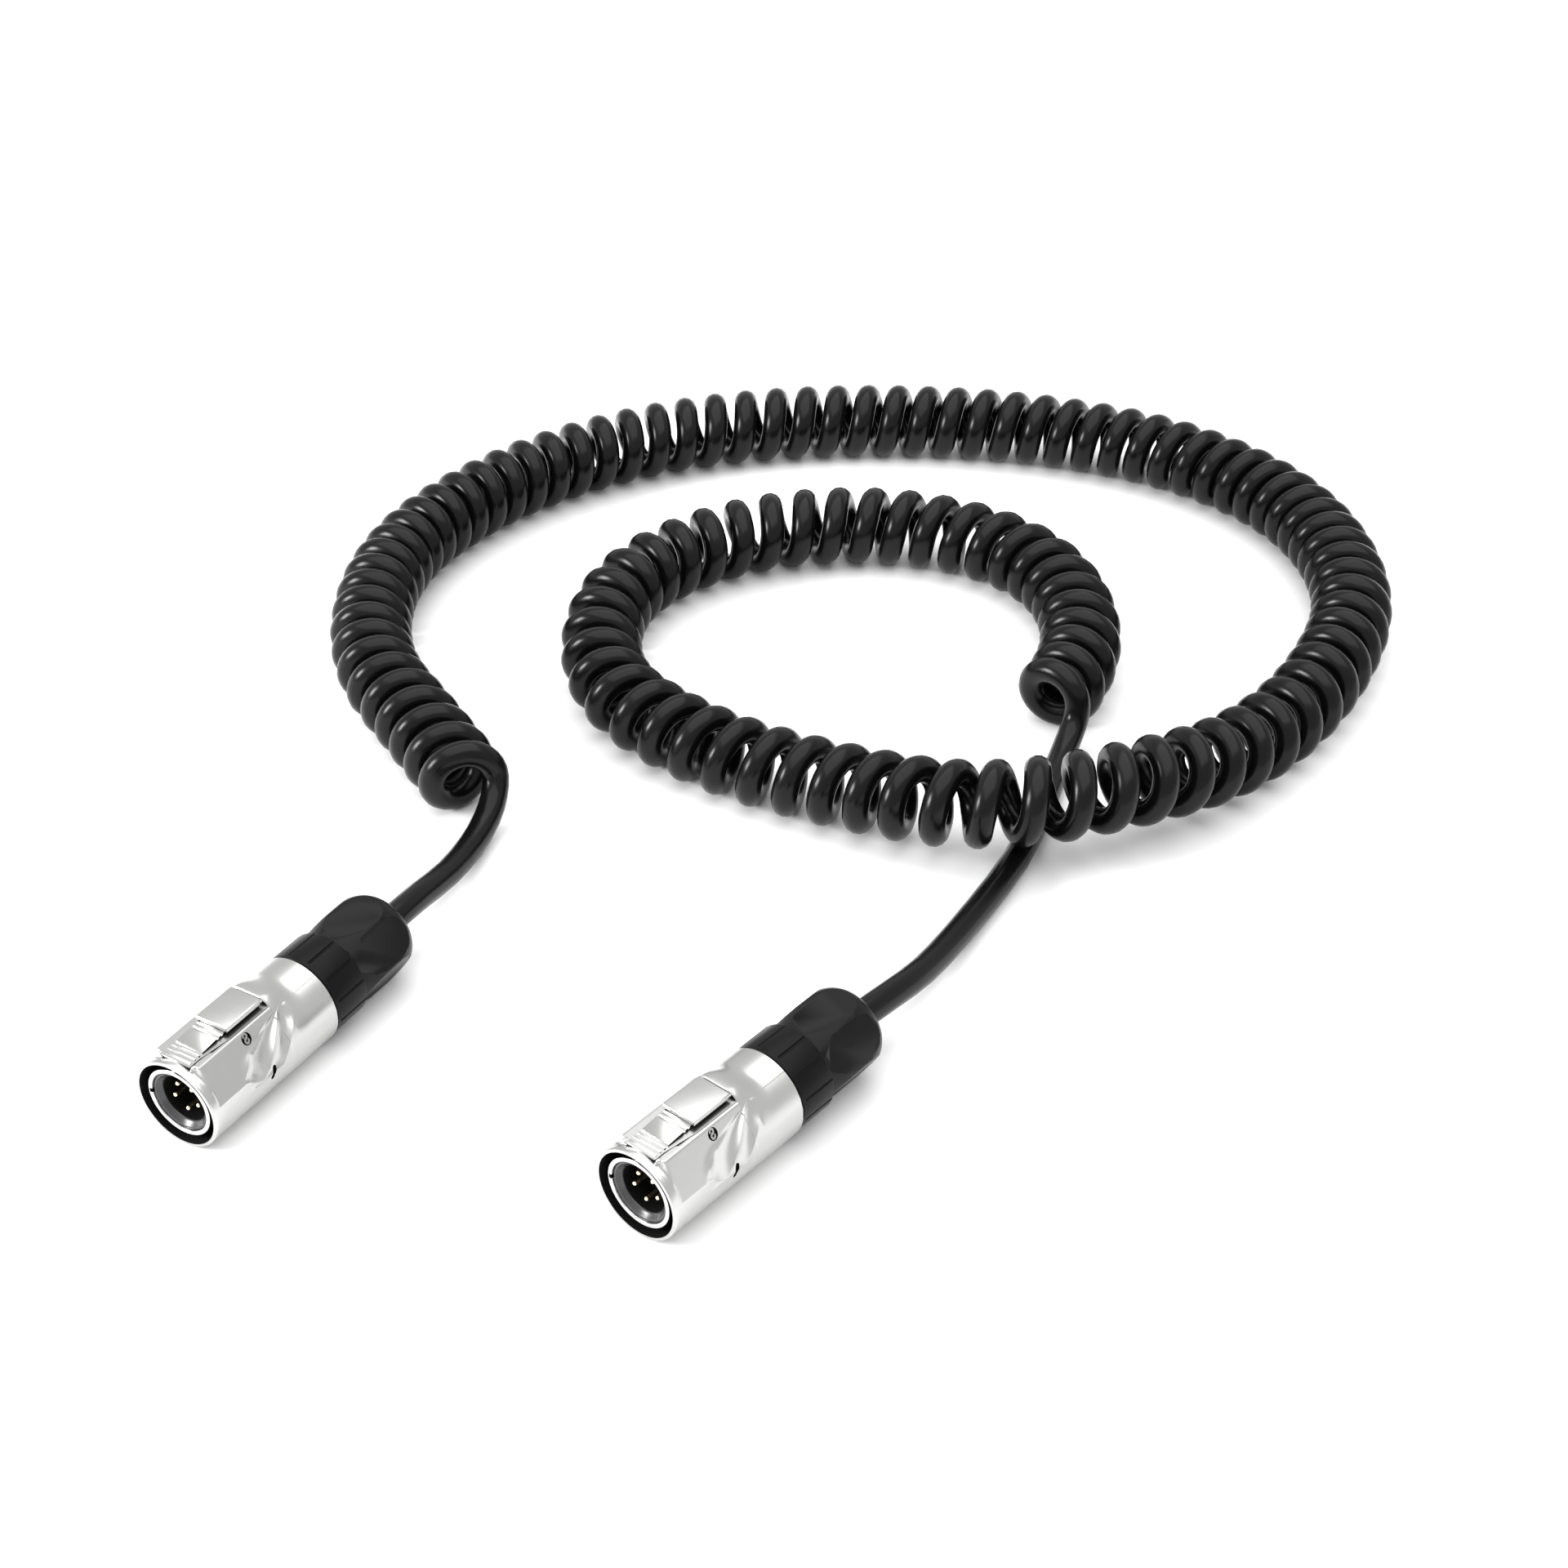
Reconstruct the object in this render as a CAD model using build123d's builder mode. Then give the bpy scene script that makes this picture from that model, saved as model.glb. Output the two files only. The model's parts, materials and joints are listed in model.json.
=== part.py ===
from build123d import *

import math
import os

# Coiled cable with a five-contact push-lock plug on each end, in millimetres.
#
# Each plug is modelled along local +Y with its mating face at y = 0, its axis on z = 0 and the latch on
# top, then laid on the floor twice.  In the row frame +Z is up, the floor is z = 0, and plug b's axis is
# parallel to Y with its mating face towards -Y.

# ---------------------------------------------------------------- driving dimensions
# cord
CORD_R = 3.7
COIL_R = 12.0
WIRE_R = 0.5
WIRE_CIRCLE_R = 1.8
WIRE_BEND_R = 6.0
WIRE_BITE = 1.0
JACKET_CLEARANCE = 0.5
TAIL_EXIT_RUN = 9.0

# metal shell: its outside, and the walls left round each bore
SHELL_R = 12.0
SHELL_LENGTH = 44.0
MOUTH_WALL = 0.8
MOUTH_DEPTH = 16.0
BODY_WALL = 3.4
SOCKET_WALL = 2.0
SOCKET_DEPTH = 8.0
RIM_CHAMFER = 0.3
VENT_WIDTH = 1.2
VENT_HEIGHT = 3.4
VENT_DEPTH = 0.7
VENT_Y = 20.5
VENT_TILT = 65

# latch saddle: two rails beside the lever's channel, and the hump behind the thumb pad
SADDLE_FRONT_Y = 2.2
RAIL_HALF = 6.1
RAIL_WALL = 0.5
RAIL_RISE = 0.2
RAIL_BEVEL = 0.7
SADDLE_INSET = 0.7
SADDLE_BASE_Z = 3.2
CHANNEL_DEPTH = 1.5
CHANNEL_NARROW_LENGTH = 7.0
HUMP_LENGTH = 8.5
HUMP_HALF = 4.6
HUMP_MID_HALF = 3.7
HUMP_MID_DROP = 0.9
HUMP_END_HALF = 1.8
HUMP_END_DROP = 0.3

# latch lever
LEVER_TIP_Y = 2.4
PAD_LEAD = 3.1
PAD_LENGTH = 12.5
PAD_WIDTH = 9.6
PAD_RISE = 2.5
PAD_THICKNESS = 1.1
PAD_EDGE_R = 0.5
ARM_WIDTH = 8.0
ARM_TIP_RISE = 0.2
ARM_ROOT_RISE = 1.1
HOOK_Y = 0.8
HOOK_SLOPE = 0.4
HOOK_DEPTH = 0.8
HOOK_LENGTH = 1.8
CORE_SETBACK = 0.6
GRIP_WIDTH = 0.7
GRIP_PITCH = 1.4
TIP_GRIPS = 3
ROOT_GRIPS = 2
PIN_R = 0.9
PIN_SETBACK = 0.5
HUB_R = 1.5
PIVOT_RISE = 0.2
SPRING_SETBACK = 5.9
SPRING_COIL_R = 1.1
SPRING_WIRE_R = 0.2
SPRING_PITCH = 0.62
SPRING_POCKET_DEPTH = 1.0

# mating barrel and contacts
BARREL_FRONT_Y = 0.8
BARREL_WALL = 1.25
BARREL_CHAMFER = 0.3
MATING_GAP = 1.85
SEAL_SEAT_RISE = 0.25
SEAL_LENGTH = 1.4
FLANGE_LENGTH = 3.0
SKIRT_LENGTH = 8.0
SKIRT_WALL = 1.1
STEP_DEPTH = 2.0
KEY_WIDTH = 1.2
KEY_DEPTH = 0.7
KEY_LENGTH = 2.0
FACE_SEAL_WALL = 1.9
FACE_SEAL_LENGTH = 6.6
INSERT_FRONT_Y = 8.0
CONTACTS = 5
CONTACT_R = 0.65
CONTACT_EDGE = 1.85
CONTACT_TIP_Y = 3.0
CUP_WALL = 0.35
CUP_BORE_R = 0.75
CUP_LENGTH = 5.0
CUP_BORE_DEPTH = 3.0
RETAINER_LENGTH = 3.0
RETAINER_WALL = 1.7
SPANNER_SLOT = 1.5
SPANNER_DEPTH = 1.0

# back sleeve, cable gland and nut
GASKET_THICKNESS = 0.4
GASKET_INSET = 0.6
COLLAR_INSET = 0.3
COLLAR_LENGTH = 11.1
COLLAR_GROOVES = 12
GROOVE_R = 0.45
GROOVE_START = 1.3
SLEEVE_WALL = 3.2
NECK_LENGTH = 10.5
NECK_WALL = 2.6
GLAND_WALL = 2.5
GLAND_STEP_WALL = 1.1
GLAND_STEP_LENGTH = 2.0
GLAND_SEAL_LENGTH = 5.0
CLAW_LENGTH = 5.4
CLAW_FLANGE_WALL = 1.4
CLAW_FLANGE_LENGTH = 1.0
CLAW_SLOTS = 6
CLAW_SLOT_WIDTH = 0.8
CLAW_SLOT_LENGTH = 4.3
WASHER_INSET = 1.0
WASHER_THICKNESS = 0.8
NUT_LENGTH = 21.2
NUT_WALL = 1.8
NUT_CORNER_RISE = 1.3
NUT_CONE_LENGTH = 7.0
NUT_SIDE_LENGTH = 12.4
NUT_DOME_LENGTH = 3.6
NUT_DOME_RISE = 1.4
NUT_MOUTH_GAP = 1.7
NUT_MOUTH_LENGTH = 5.3
NUT_END_WALL = 1.5
NUT_FLAT_INSET = 0.1

# clearances, radial unless they say otherwise
PIN_FIT = 0.05
THREAD_FIT = 0.1
CORD_FIT = 0.4
LEVER_SIDE_GAP = 0.3
LEVER_END_GAP = 0.4
LEVER_MOUTH_GAP = 0.1
CORE_GAP = 1.2
PAD_END_GAP = 0.5
HUB_GAP = 0.2
AXIAL_GAP = 0.1

# where each plug lies: mating face centre and turn about the vertical, in degrees
PLUG_PLACES = {"a": (-45.4, -61.5, 8.9), "b": (55.6, -14.3, 0.0)}

# ---------------------------------------------------------------- radii that follow
MOUTH_R = SHELL_R - MOUTH_WALL
BODY_BORE_R = SHELL_R - BODY_WALL
SOCKET_R = SHELL_R - SOCKET_WALL
BARREL_R = MOUTH_R - MATING_GAP
BARREL_BORE_R = BARREL_R - BARREL_WALL
BARREL_SEAT_R = BARREL_R + SEAL_SEAT_RISE
SKIRT_BORE_R = BODY_BORE_R - SKIRT_WALL
FACE_SEAL_R = BARREL_BORE_R - FACE_SEAL_WALL
CONTACT_CIRCLE_R = FACE_SEAL_R - CONTACT_EDGE - CONTACT_R
CUP_R = CUP_BORE_R + CUP_WALL
RETAINER_BORE_R = BODY_BORE_R - RETAINER_WALL
GASKET_R = SHELL_R - GASKET_INSET
COLLAR_R = SHELL_R - COLLAR_INSET
SLEEVE_BORE_R = SOCKET_R - SLEEVE_WALL
GLAND_R = CORD_R + GLAND_WALL
GLAND_STEP_R = CORD_R + GLAND_STEP_WALL
NECK_R = GLAND_R + NECK_WALL
CLAW_FLANGE_R = GLAND_R + CLAW_FLANGE_WALL
WASHER_R = NECK_R - WASHER_INSET
CORD_BORE_R = CORD_R + CORD_FIT
NUT_BASE_R = NECK_R + NUT_WALL
NUT_CORNER_R = NUT_BASE_R + NUT_CORNER_RISE
NUT_FLAT_R = NUT_BASE_R - NUT_FLAT_INSET
NUT_MOUTH_R = CORD_R + NUT_MOUTH_GAP
NUT_END_R = NUT_MOUTH_R + NUT_END_WALL

# ---------------------------------------------------------------- heights that follow
RAIL_Z = SHELL_R + RAIL_RISE
SADDLE_BASE_HALF = SHELL_R - SADDLE_INSET
CHANNEL_FLOOR_Z = RAIL_Z - CHANNEL_DEPTH
PAD_TOP_Z = SHELL_R + PAD_RISE
PAD_BOTTOM_Z = PAD_TOP_Z - PAD_THICKNESS
ARM_TIP_TOP_Z = RAIL_Z + ARM_TIP_RISE
ARM_ROOT_TOP_Z = RAIL_Z + ARM_ROOT_RISE
ARM_BOTTOM_Z = MOUTH_R + LEVER_MOUTH_GAP
CORE_BOTTOM_Z = CHANNEL_FLOOR_Z + CORE_GAP
PIVOT_Z = CHANNEL_FLOOR_Z + PIVOT_RISE
HUMP_Z = PAD_TOP_Z - PAD_END_GAP
CHANNEL_HALF = ARM_WIDTH / 2 + LEVER_SIDE_GAP
CHANNEL_WIDE_HALF = RAIL_HALF - RAIL_WALL

# ---------------------------------------------------------------- places along the plug that follow
PIVOT_Y = MOUTH_DEPTH + HUB_R + HUB_GAP
PAD_FRONT_Y = PIVOT_Y - PAD_LEAD
PAD_REAR_Y = PAD_FRONT_Y + PAD_LENGTH
SPRING_Y = PIVOT_Y + SPRING_SETBACK
HUMP_FRONT_Y = PAD_REAR_Y + PAD_END_GAP
FLANGE_FRONT_Y = MOUTH_DEPTH - FLANGE_LENGTH
SEAL_FRONT_Y = FLANGE_FRONT_Y - SEAL_LENGTH
SKIRT_REAR_Y = MOUTH_DEPTH + SKIRT_LENGTH
STEP_Y = MOUTH_DEPTH - STEP_DEPTH
RETAINER_REAR_Y = SKIRT_REAR_Y + RETAINER_LENGTH
CUP_REAR_Y = SKIRT_REAR_Y + CUP_LENGTH
SOCKET_Y = SHELL_LENGTH - SOCKET_DEPTH
COLLAR_Y = SHELL_LENGTH + GASKET_THICKNESS
NECK_Y = COLLAR_Y + COLLAR_LENGTH
NECK_REAR_Y = NECK_Y + NECK_LENGTH
CLAW_FLANGE_Y = NECK_REAR_Y + AXIAL_GAP
CLAW_REAR_Y = CLAW_FLANGE_Y + CLAW_FLANGE_LENGTH
CLAW_FRONT_Y = CLAW_FLANGE_Y - CLAW_LENGTH
SEAL_SEAT_Y = CLAW_FRONT_Y - GLAND_SEAL_LENGTH
WASHER_Y = CLAW_REAR_Y + AXIAL_GAP
WASHER_REAR_Y = WASHER_Y + WASHER_THICKNESS
NUT_FRONT_Y = NECK_Y + 3 * AXIAL_GAP
NUT_REAR_Y = NUT_FRONT_Y + NUT_LENGTH
JACKET_Y = SEAL_SEAT_Y - GLAND_STEP_LENGTH + JACKET_CLEARANCE


def make_ring(front, rear, inner, outer):
    """Plain ring about the plug's axis."""
    with BuildPart() as ring:
        with BuildSketch(Plane.YZ):
            with BuildLine():
                Polyline((front, inner), (rear, inner), (rear, outer), (front, outer), close=True)
            make_face()
        revolve(axis=Axis.Y)
    return ring.part


def across(y):
    """Plane square to the plug's axis at y, its local x along X and its local y along Z."""
    return Plane(origin=(0, y, 0), x_dir=(1, 0, 0), z_dir=(0, -1, 0))


# ---------------------------------------------------------------- shell
def saddle_section(y, top_half, top_z, shoulder_half, shoulder_z):
    """One cross-section of the latch saddle."""
    with BuildSketch(across(y)) as section:
        with BuildLine():
            Polyline(
                (-SADDLE_BASE_HALF, SADDLE_BASE_Z),
                (-shoulder_half, shoulder_z),
                (-top_half, top_z),
                (top_half, top_z),
                (shoulder_half, shoulder_z),
                (SADDLE_BASE_HALF, SADDLE_BASE_Z),
                close=True,
            )
        make_face()
    return section.sketch


def make_shell():
    """Die-cast shell: cylinder, latch saddle with its channel, and the hump behind the thumb pad."""
    bevel_half = RAIL_HALF - RAIL_BEVEL
    bevel_z = RAIL_Z - RAIL_BEVEL
    hump_mid_y = HUMP_FRONT_Y + HUMP_LENGTH / 2
    hump_rear_y = HUMP_FRONT_Y + HUMP_LENGTH
    hump_mid_z = HUMP_Z - HUMP_MID_DROP
    hump_rear_z = SHELL_R - HUMP_END_DROP
    with BuildPart() as shell:
        with BuildSketch(across(0)):
            Circle(SHELL_R)
        extrude(amount=-SHELL_LENGTH)
        chamfer(shell.edges().group_by(Axis.Y)[0], RIM_CHAMFER)
        saddle = [
            saddle_section(SADDLE_FRONT_Y, bevel_half, SHELL_R, RAIL_HALF, bevel_z),
            saddle_section(HUMP_FRONT_Y, bevel_half, RAIL_Z, RAIL_HALF, bevel_z),
        ]
        loft(sections=saddle, ruled=True)
        hump = [
            saddle_section(HUMP_FRONT_Y, HUMP_HALF, HUMP_Z, RAIL_HALF, RAIL_Z),
            saddle_section(hump_mid_y, HUMP_MID_HALF, hump_mid_z, RAIL_HALF, bevel_z),
            saddle_section(hump_rear_y, HUMP_END_HALF, hump_rear_z, bevel_half, SHELL_R - CHANNEL_DEPTH),
        ]
        loft(sections=hump, ruled=True)
        # stepped bore: mouth round the barrel, body bore, and the socket for the back sleeve
        with BuildSketch(Plane.YZ):
            with BuildLine():
                Polyline(
                    (0, 0),
                    (0, MOUTH_R),
                    (MOUTH_DEPTH, MOUTH_R),
                    (MOUTH_DEPTH, BODY_BORE_R),
                    (SOCKET_Y, BODY_BORE_R),
                    (SOCKET_Y, SOCKET_R),
                    (SHELL_LENGTH, SOCKET_R),
                    (SHELL_LENGTH, 0),
                    close=True,
                )
            make_face()
        revolve(axis=Axis.Y, mode=Mode.SUBTRACT)
        # channel for the lever, open into the mouth in front and floored behind
        channel_front = LEVER_TIP_Y - LEVER_END_GAP
        channel_length = HUMP_FRONT_Y - channel_front
        with BuildSketch(Plane.XY.offset(CHANNEL_FLOOR_Z)):
            with Locations((0, channel_front + channel_length / 2)):
                Rectangle(2 * CHANNEL_HALF, channel_length)
        extrude(amount=PAD_TOP_Z, mode=Mode.SUBTRACT)
        with BuildSketch(Plane.XY.offset(0)):
            with Locations((0, (channel_front + MOUTH_DEPTH) / 2)):
                Rectangle(2 * CHANNEL_HALF, MOUTH_DEPTH - channel_front)
        extrude(amount=PAD_TOP_Z, mode=Mode.SUBTRACT)
        # the channel spreads towards the thumb pad and beside it, but not at the bosses that hold the pin
        with BuildSketch(Plane.XY.offset(CHANNEL_FLOOR_Z)):
            with BuildLine():
                Polyline(
                    (-CHANNEL_HALF, channel_front + CHANNEL_NARROW_LENGTH),
                    (CHANNEL_HALF, channel_front + CHANNEL_NARROW_LENGTH),
                    (CHANNEL_WIDE_HALF, PAD_FRONT_Y),
                    (CHANNEL_WIDE_HALF, PIVOT_Y - HUB_R),
                    (-CHANNEL_WIDE_HALF, PIVOT_Y - HUB_R),
                    (-CHANNEL_WIDE_HALF, PAD_FRONT_Y),
                    close=True,
                )
            make_face()
            with Locations((0, (PIVOT_Y + HUB_R + HUMP_FRONT_Y) / 2)):
                Rectangle(2 * CHANNEL_WIDE_HALF, HUMP_FRONT_Y - PIVOT_Y - HUB_R)
        extrude(amount=PAD_TOP_Z, mode=Mode.SUBTRACT)
        # relief round the lever's hub, and the pin's cross hole
        with BuildSketch(Plane.YZ.offset(-CHANNEL_HALF)):
            with Locations((PIVOT_Y, PIVOT_Z)):
                Circle(HUB_R + HUB_GAP)
        extrude(amount=2 * CHANNEL_HALF, mode=Mode.SUBTRACT)
        with BuildSketch(Plane.YZ):
            with Locations((PIVOT_Y, PIVOT_Z)):
                Circle(PIN_R)
        extrude(amount=SHELL_R, both=True, mode=Mode.SUBTRACT)
        # shallow upright pocket on each flank
        for side in (-1, 1):
            with BuildSketch(Plane.YZ.offset(side * SHELL_R)):
                with Locations((VENT_Y, 0)):
                    SlotOverall(VENT_HEIGHT, VENT_WIDTH, rotation=VENT_TILT)
            extrude(amount=-side * VENT_DEPTH, mode=Mode.SUBTRACT)
    return shell.part


# ---------------------------------------------------------------- latch
def make_lever():
    """Rocking latch lever: grooved arm with its hook in front, thumb pad behind, hub between."""
    core_rear_y = PAD_REAR_Y - CORE_SETBACK
    hook_front_y = LEVER_TIP_Y + HOOK_Y
    hook_rear_y = hook_front_y + HOOK_LENGTH
    hook_z = ARM_BOTTOM_Z - HOOK_DEPTH
    arm_slope = (ARM_ROOT_TOP_Z - ARM_TIP_TOP_Z) / (PAD_FRONT_Y - LEVER_TIP_Y)
    tip_grips = [hook_front_y + HOOK_SLOPE + i * GRIP_PITCH for i in range(TIP_GRIPS)]
    root_grips = [PAD_FRONT_Y - (i + 1 / 2) * GRIP_PITCH for i in range(ROOT_GRIPS)]
    with BuildPart() as lever:
        with BuildSketch(Plane.YZ):
            with BuildLine():
                Polyline(
                    (LEVER_TIP_Y, ARM_BOTTOM_Z),
                    (hook_front_y, ARM_BOTTOM_Z),
                    (hook_front_y + HOOK_SLOPE, hook_z),
                    (hook_rear_y, hook_z),
                    (hook_rear_y, ARM_BOTTOM_Z),
                    (PIVOT_Y - HUB_R, ARM_BOTTOM_Z),
                    (PIVOT_Y - HUB_R, PIVOT_Z),
                    (PIVOT_Y + HUB_R, PIVOT_Z),
                    (PIVOT_Y + HUB_R, CORE_BOTTOM_Z),
                    (core_rear_y, CORE_BOTTOM_Z),
                    (core_rear_y, PAD_BOTTOM_Z),
                    (PAD_FRONT_Y, PAD_BOTTOM_Z),
                    (PAD_FRONT_Y, ARM_ROOT_TOP_Z),
                    (LEVER_TIP_Y, ARM_TIP_TOP_Z),
                    close=True,
                )
            make_face()
            with Locations((PIVOT_Y, PIVOT_Z)):
                Circle(HUB_R)
        extrude(amount=ARM_WIDTH / 2, both=True)
        # finger grooves across the arm
        for y in tip_grips + root_grips:
            with BuildSketch(Plane.YZ):
                with Locations((y, ARM_TIP_TOP_Z + arm_slope * (y - LEVER_TIP_Y))):
                    Circle(GRIP_WIDTH / 2)
            extrude(amount=ARM_WIDTH, both=True, mode=Mode.SUBTRACT)
        # thumb pad
        with BuildSketch(Plane.XY.offset(PAD_BOTTOM_Z)):
            with Locations((0, PAD_FRONT_Y + PAD_LENGTH / 2)):
                Rectangle(PAD_WIDTH, PAD_LENGTH)
        extrude(amount=PAD_THICKNESS)
        pad_top = lever.faces().sort_by(Axis.Z)[-1]
        fillet(pad_top.edges(), PAD_EDGE_R)
        # pin hole and spring pocket
        with BuildSketch(Plane.YZ):
            with Locations((PIVOT_Y, PIVOT_Z)):
                Circle(PIN_R + PIN_FIT)
        extrude(amount=ARM_WIDTH, both=True, mode=Mode.SUBTRACT)
        with BuildSketch(Plane.XY.offset(CORE_BOTTOM_Z)):
            with Locations((0, SPRING_Y)):
                Circle(SPRING_COIL_R + SPRING_WIRE_R + LEVER_SIDE_GAP)
        extrude(amount=SPRING_POCKET_DEPTH, mode=Mode.SUBTRACT)
    return lever.part


def make_pin():
    """Cross pin pressed into both flanks of the saddle."""
    flank_share = (RAIL_Z - RAIL_BEVEL - PIVOT_Z) / (RAIL_Z - RAIL_BEVEL - SADDLE_BASE_Z)
    half_length = RAIL_HALF + flank_share * (SADDLE_BASE_HALF - RAIL_HALF) - PIN_SETBACK
    with BuildPart() as pin:
        with BuildSketch(Plane.YZ):
            with Locations((PIVOT_Y, PIVOT_Z)):
                Circle(PIN_R)
        extrude(amount=half_length, both=True)
        chamfer(pin.edges(), PIN_R * 0.2)
    return pin.part


def make_spring():
    """Small coil spring that pushes the thumb pad up."""
    bottom = CHANNEL_FLOOR_Z + SPRING_WIRE_R
    top = CORE_BOTTOM_Z + SPRING_POCKET_DEPTH - SPRING_WIRE_R - AXIAL_GAP
    with BuildPart() as spring:
        with BuildLine() as wire:
            Helix(SPRING_PITCH, top - bottom, SPRING_COIL_R, center=(0, SPRING_Y, bottom))
        with BuildSketch(Plane(origin=wire.line @ 0, z_dir=wire.line % 0)):
            Circle(SPRING_WIRE_R)
        sweep(is_frenet=True)
    return spring.part


# ---------------------------------------------------------------- barrel and contacts
def make_barrel():
    """Mating barrel with its flange and rear skirt."""
    with BuildPart() as barrel:
        with BuildSketch(Plane.YZ):
            with BuildLine():
                Polyline(
                    (BARREL_FRONT_Y, BARREL_BORE_R + BARREL_CHAMFER),
                    (BARREL_FRONT_Y, BARREL_R - BARREL_CHAMFER),
                    (BARREL_FRONT_Y + BARREL_CHAMFER, BARREL_R),
                    (SEAL_FRONT_Y, BARREL_R),
                    (SEAL_FRONT_Y, BARREL_SEAT_R),
                    (FLANGE_FRONT_Y, BARREL_SEAT_R),
                    (FLANGE_FRONT_Y, MOUTH_R),
                    (MOUTH_DEPTH, MOUTH_R),
                    (MOUTH_DEPTH, BODY_BORE_R),
                    (SKIRT_REAR_Y, BODY_BORE_R),
                    (SKIRT_REAR_Y, SKIRT_BORE_R),
                    (STEP_Y, SKIRT_BORE_R),
                    (STEP_Y, BARREL_BORE_R),
                    (BARREL_FRONT_Y + BARREL_CHAMFER, BARREL_BORE_R),
                    close=True,
                )
            make_face()
        revolve(axis=Axis.Y)
        # key notch in the mouth, on the viewer's left of the mating face
        with BuildSketch(across(BARREL_FRONT_Y)):
            with Locations((-BARREL_BORE_R, 0)):
                Rectangle(2 * KEY_DEPTH, KEY_WIDTH)
        extrude(amount=-KEY_LENGTH, mode=Mode.SUBTRACT)
    return barrel.part


def make_face_seal():
    """Soft ring inside the barrel's mouth, its front sloping inwards."""
    front = INSERT_FRONT_Y - FACE_SEAL_LENGTH
    lip = (BARREL_BORE_R - FACE_SEAL_R) / 3
    with BuildPart() as face_seal:
        with BuildSketch(Plane.YZ):
            with BuildLine():
                Polyline(
                    (front, BARREL_BORE_R),
                    (front, BARREL_BORE_R - lip),
                    (front + 2 * lip, FACE_SEAL_R),
                    (INSERT_FRONT_Y, FACE_SEAL_R),
                    (INSERT_FRONT_Y, BARREL_BORE_R),
                    close=True,
                )
            make_face()
        revolve(axis=Axis.Y)
        with BuildSketch(across(front)):
            with Locations((-BARREL_BORE_R, 0)):
                Rectangle(2 * KEY_DEPTH, KEY_WIDTH)
        extrude(amount=-KEY_LENGTH, mode=Mode.SUBTRACT)
    return face_seal.part


def make_insert():
    """Insulator that carries the contacts, stepped so that it seats in the barrel."""
    with BuildPart() as insert:
        with BuildSketch(Plane.YZ):
            with BuildLine():
                Polyline(
                    (INSERT_FRONT_Y, 0),
                    (INSERT_FRONT_Y, BARREL_BORE_R),
                    (STEP_Y, BARREL_BORE_R),
                    (STEP_Y, SKIRT_BORE_R),
                    (SKIRT_REAR_Y, SKIRT_BORE_R),
                    (SKIRT_REAR_Y, 0),
                    close=True,
                )
            make_face()
        revolve(axis=Axis.Y)
        with BuildSketch(across(INSERT_FRONT_Y)):
            with PolarLocations(CONTACT_CIRCLE_R, CONTACTS, start_angle=-90):
                Circle(CONTACT_R)
        extrude(amount=-(SKIRT_REAR_Y - INSERT_FRONT_Y), mode=Mode.SUBTRACT)
    return insert.part


def make_contacts():
    """Contact pins with round tips in front and solder cups behind, one of them at the bottom."""
    with BuildPart() as contacts:
        with BuildSketch(across(CONTACT_TIP_Y)):
            with PolarLocations(CONTACT_CIRCLE_R, CONTACTS, start_angle=-90):
                Circle(CONTACT_R)
        extrude(amount=-(SKIRT_REAR_Y - CONTACT_TIP_Y))
        fillet(contacts.edges().group_by(Axis.Y)[0], CONTACT_R * 0.9)
        with BuildSketch(across(SKIRT_REAR_Y)):
            with PolarLocations(CONTACT_CIRCLE_R, CONTACTS, start_angle=-90):
                Circle(CUP_R)
        extrude(amount=-CUP_LENGTH)
        with BuildSketch(across(CUP_REAR_Y)):
            with PolarLocations(CONTACT_CIRCLE_R, CONTACTS, start_angle=-90):
                Circle(CUP_BORE_R)
        extrude(amount=CUP_BORE_DEPTH, mode=Mode.SUBTRACT)
    return contacts.part


def make_retainer():
    """Threaded ring behind the insert, with two spanner slots in its rear face."""
    with BuildPart() as retainer:
        with BuildSketch(Plane.YZ):
            with BuildLine():
                Polyline(
                    (SKIRT_REAR_Y, RETAINER_BORE_R),
                    (RETAINER_REAR_Y, RETAINER_BORE_R),
                    (RETAINER_REAR_Y, BODY_BORE_R),
                    (SKIRT_REAR_Y, BODY_BORE_R),
                    close=True,
                )
            make_face()
        revolve(axis=Axis.Y)
        with BuildSketch(across(RETAINER_REAR_Y)):
            Rectangle(2 * SHELL_R, SPANNER_SLOT)
        extrude(amount=SPANNER_DEPTH, mode=Mode.SUBTRACT)
    return retainer.part


def make_wires():
    """Insulated cores, straight out of the solder cups and then fanned in to the jacket's end."""
    cup_y = CUP_REAR_Y - CUP_BORE_DEPTH + WIRE_BITE
    turn_y = CUP_REAR_Y + 4 * WIRE_R
    end_y = JACKET_Y + WIRE_BITE
    with BuildPart() as wires:
        for i in range(CONTACTS):
            angle = math.radians(-90 + i * 360 / CONTACTS)
            x, z = math.cos(angle), math.sin(angle)
            with BuildLine() as path:
                FilletPolyline(
                    (CONTACT_CIRCLE_R * x, cup_y, CONTACT_CIRCLE_R * z),
                    (CONTACT_CIRCLE_R * x, turn_y, CONTACT_CIRCLE_R * z),
                    (WIRE_CIRCLE_R * x, end_y, WIRE_CIRCLE_R * z),
                    radius=WIRE_BEND_R,
                )
            with BuildSketch(Plane(origin=path.line @ 0, z_dir=path.line % 0)):
                Circle(WIRE_R)
            sweep()
    return wires.part


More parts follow.
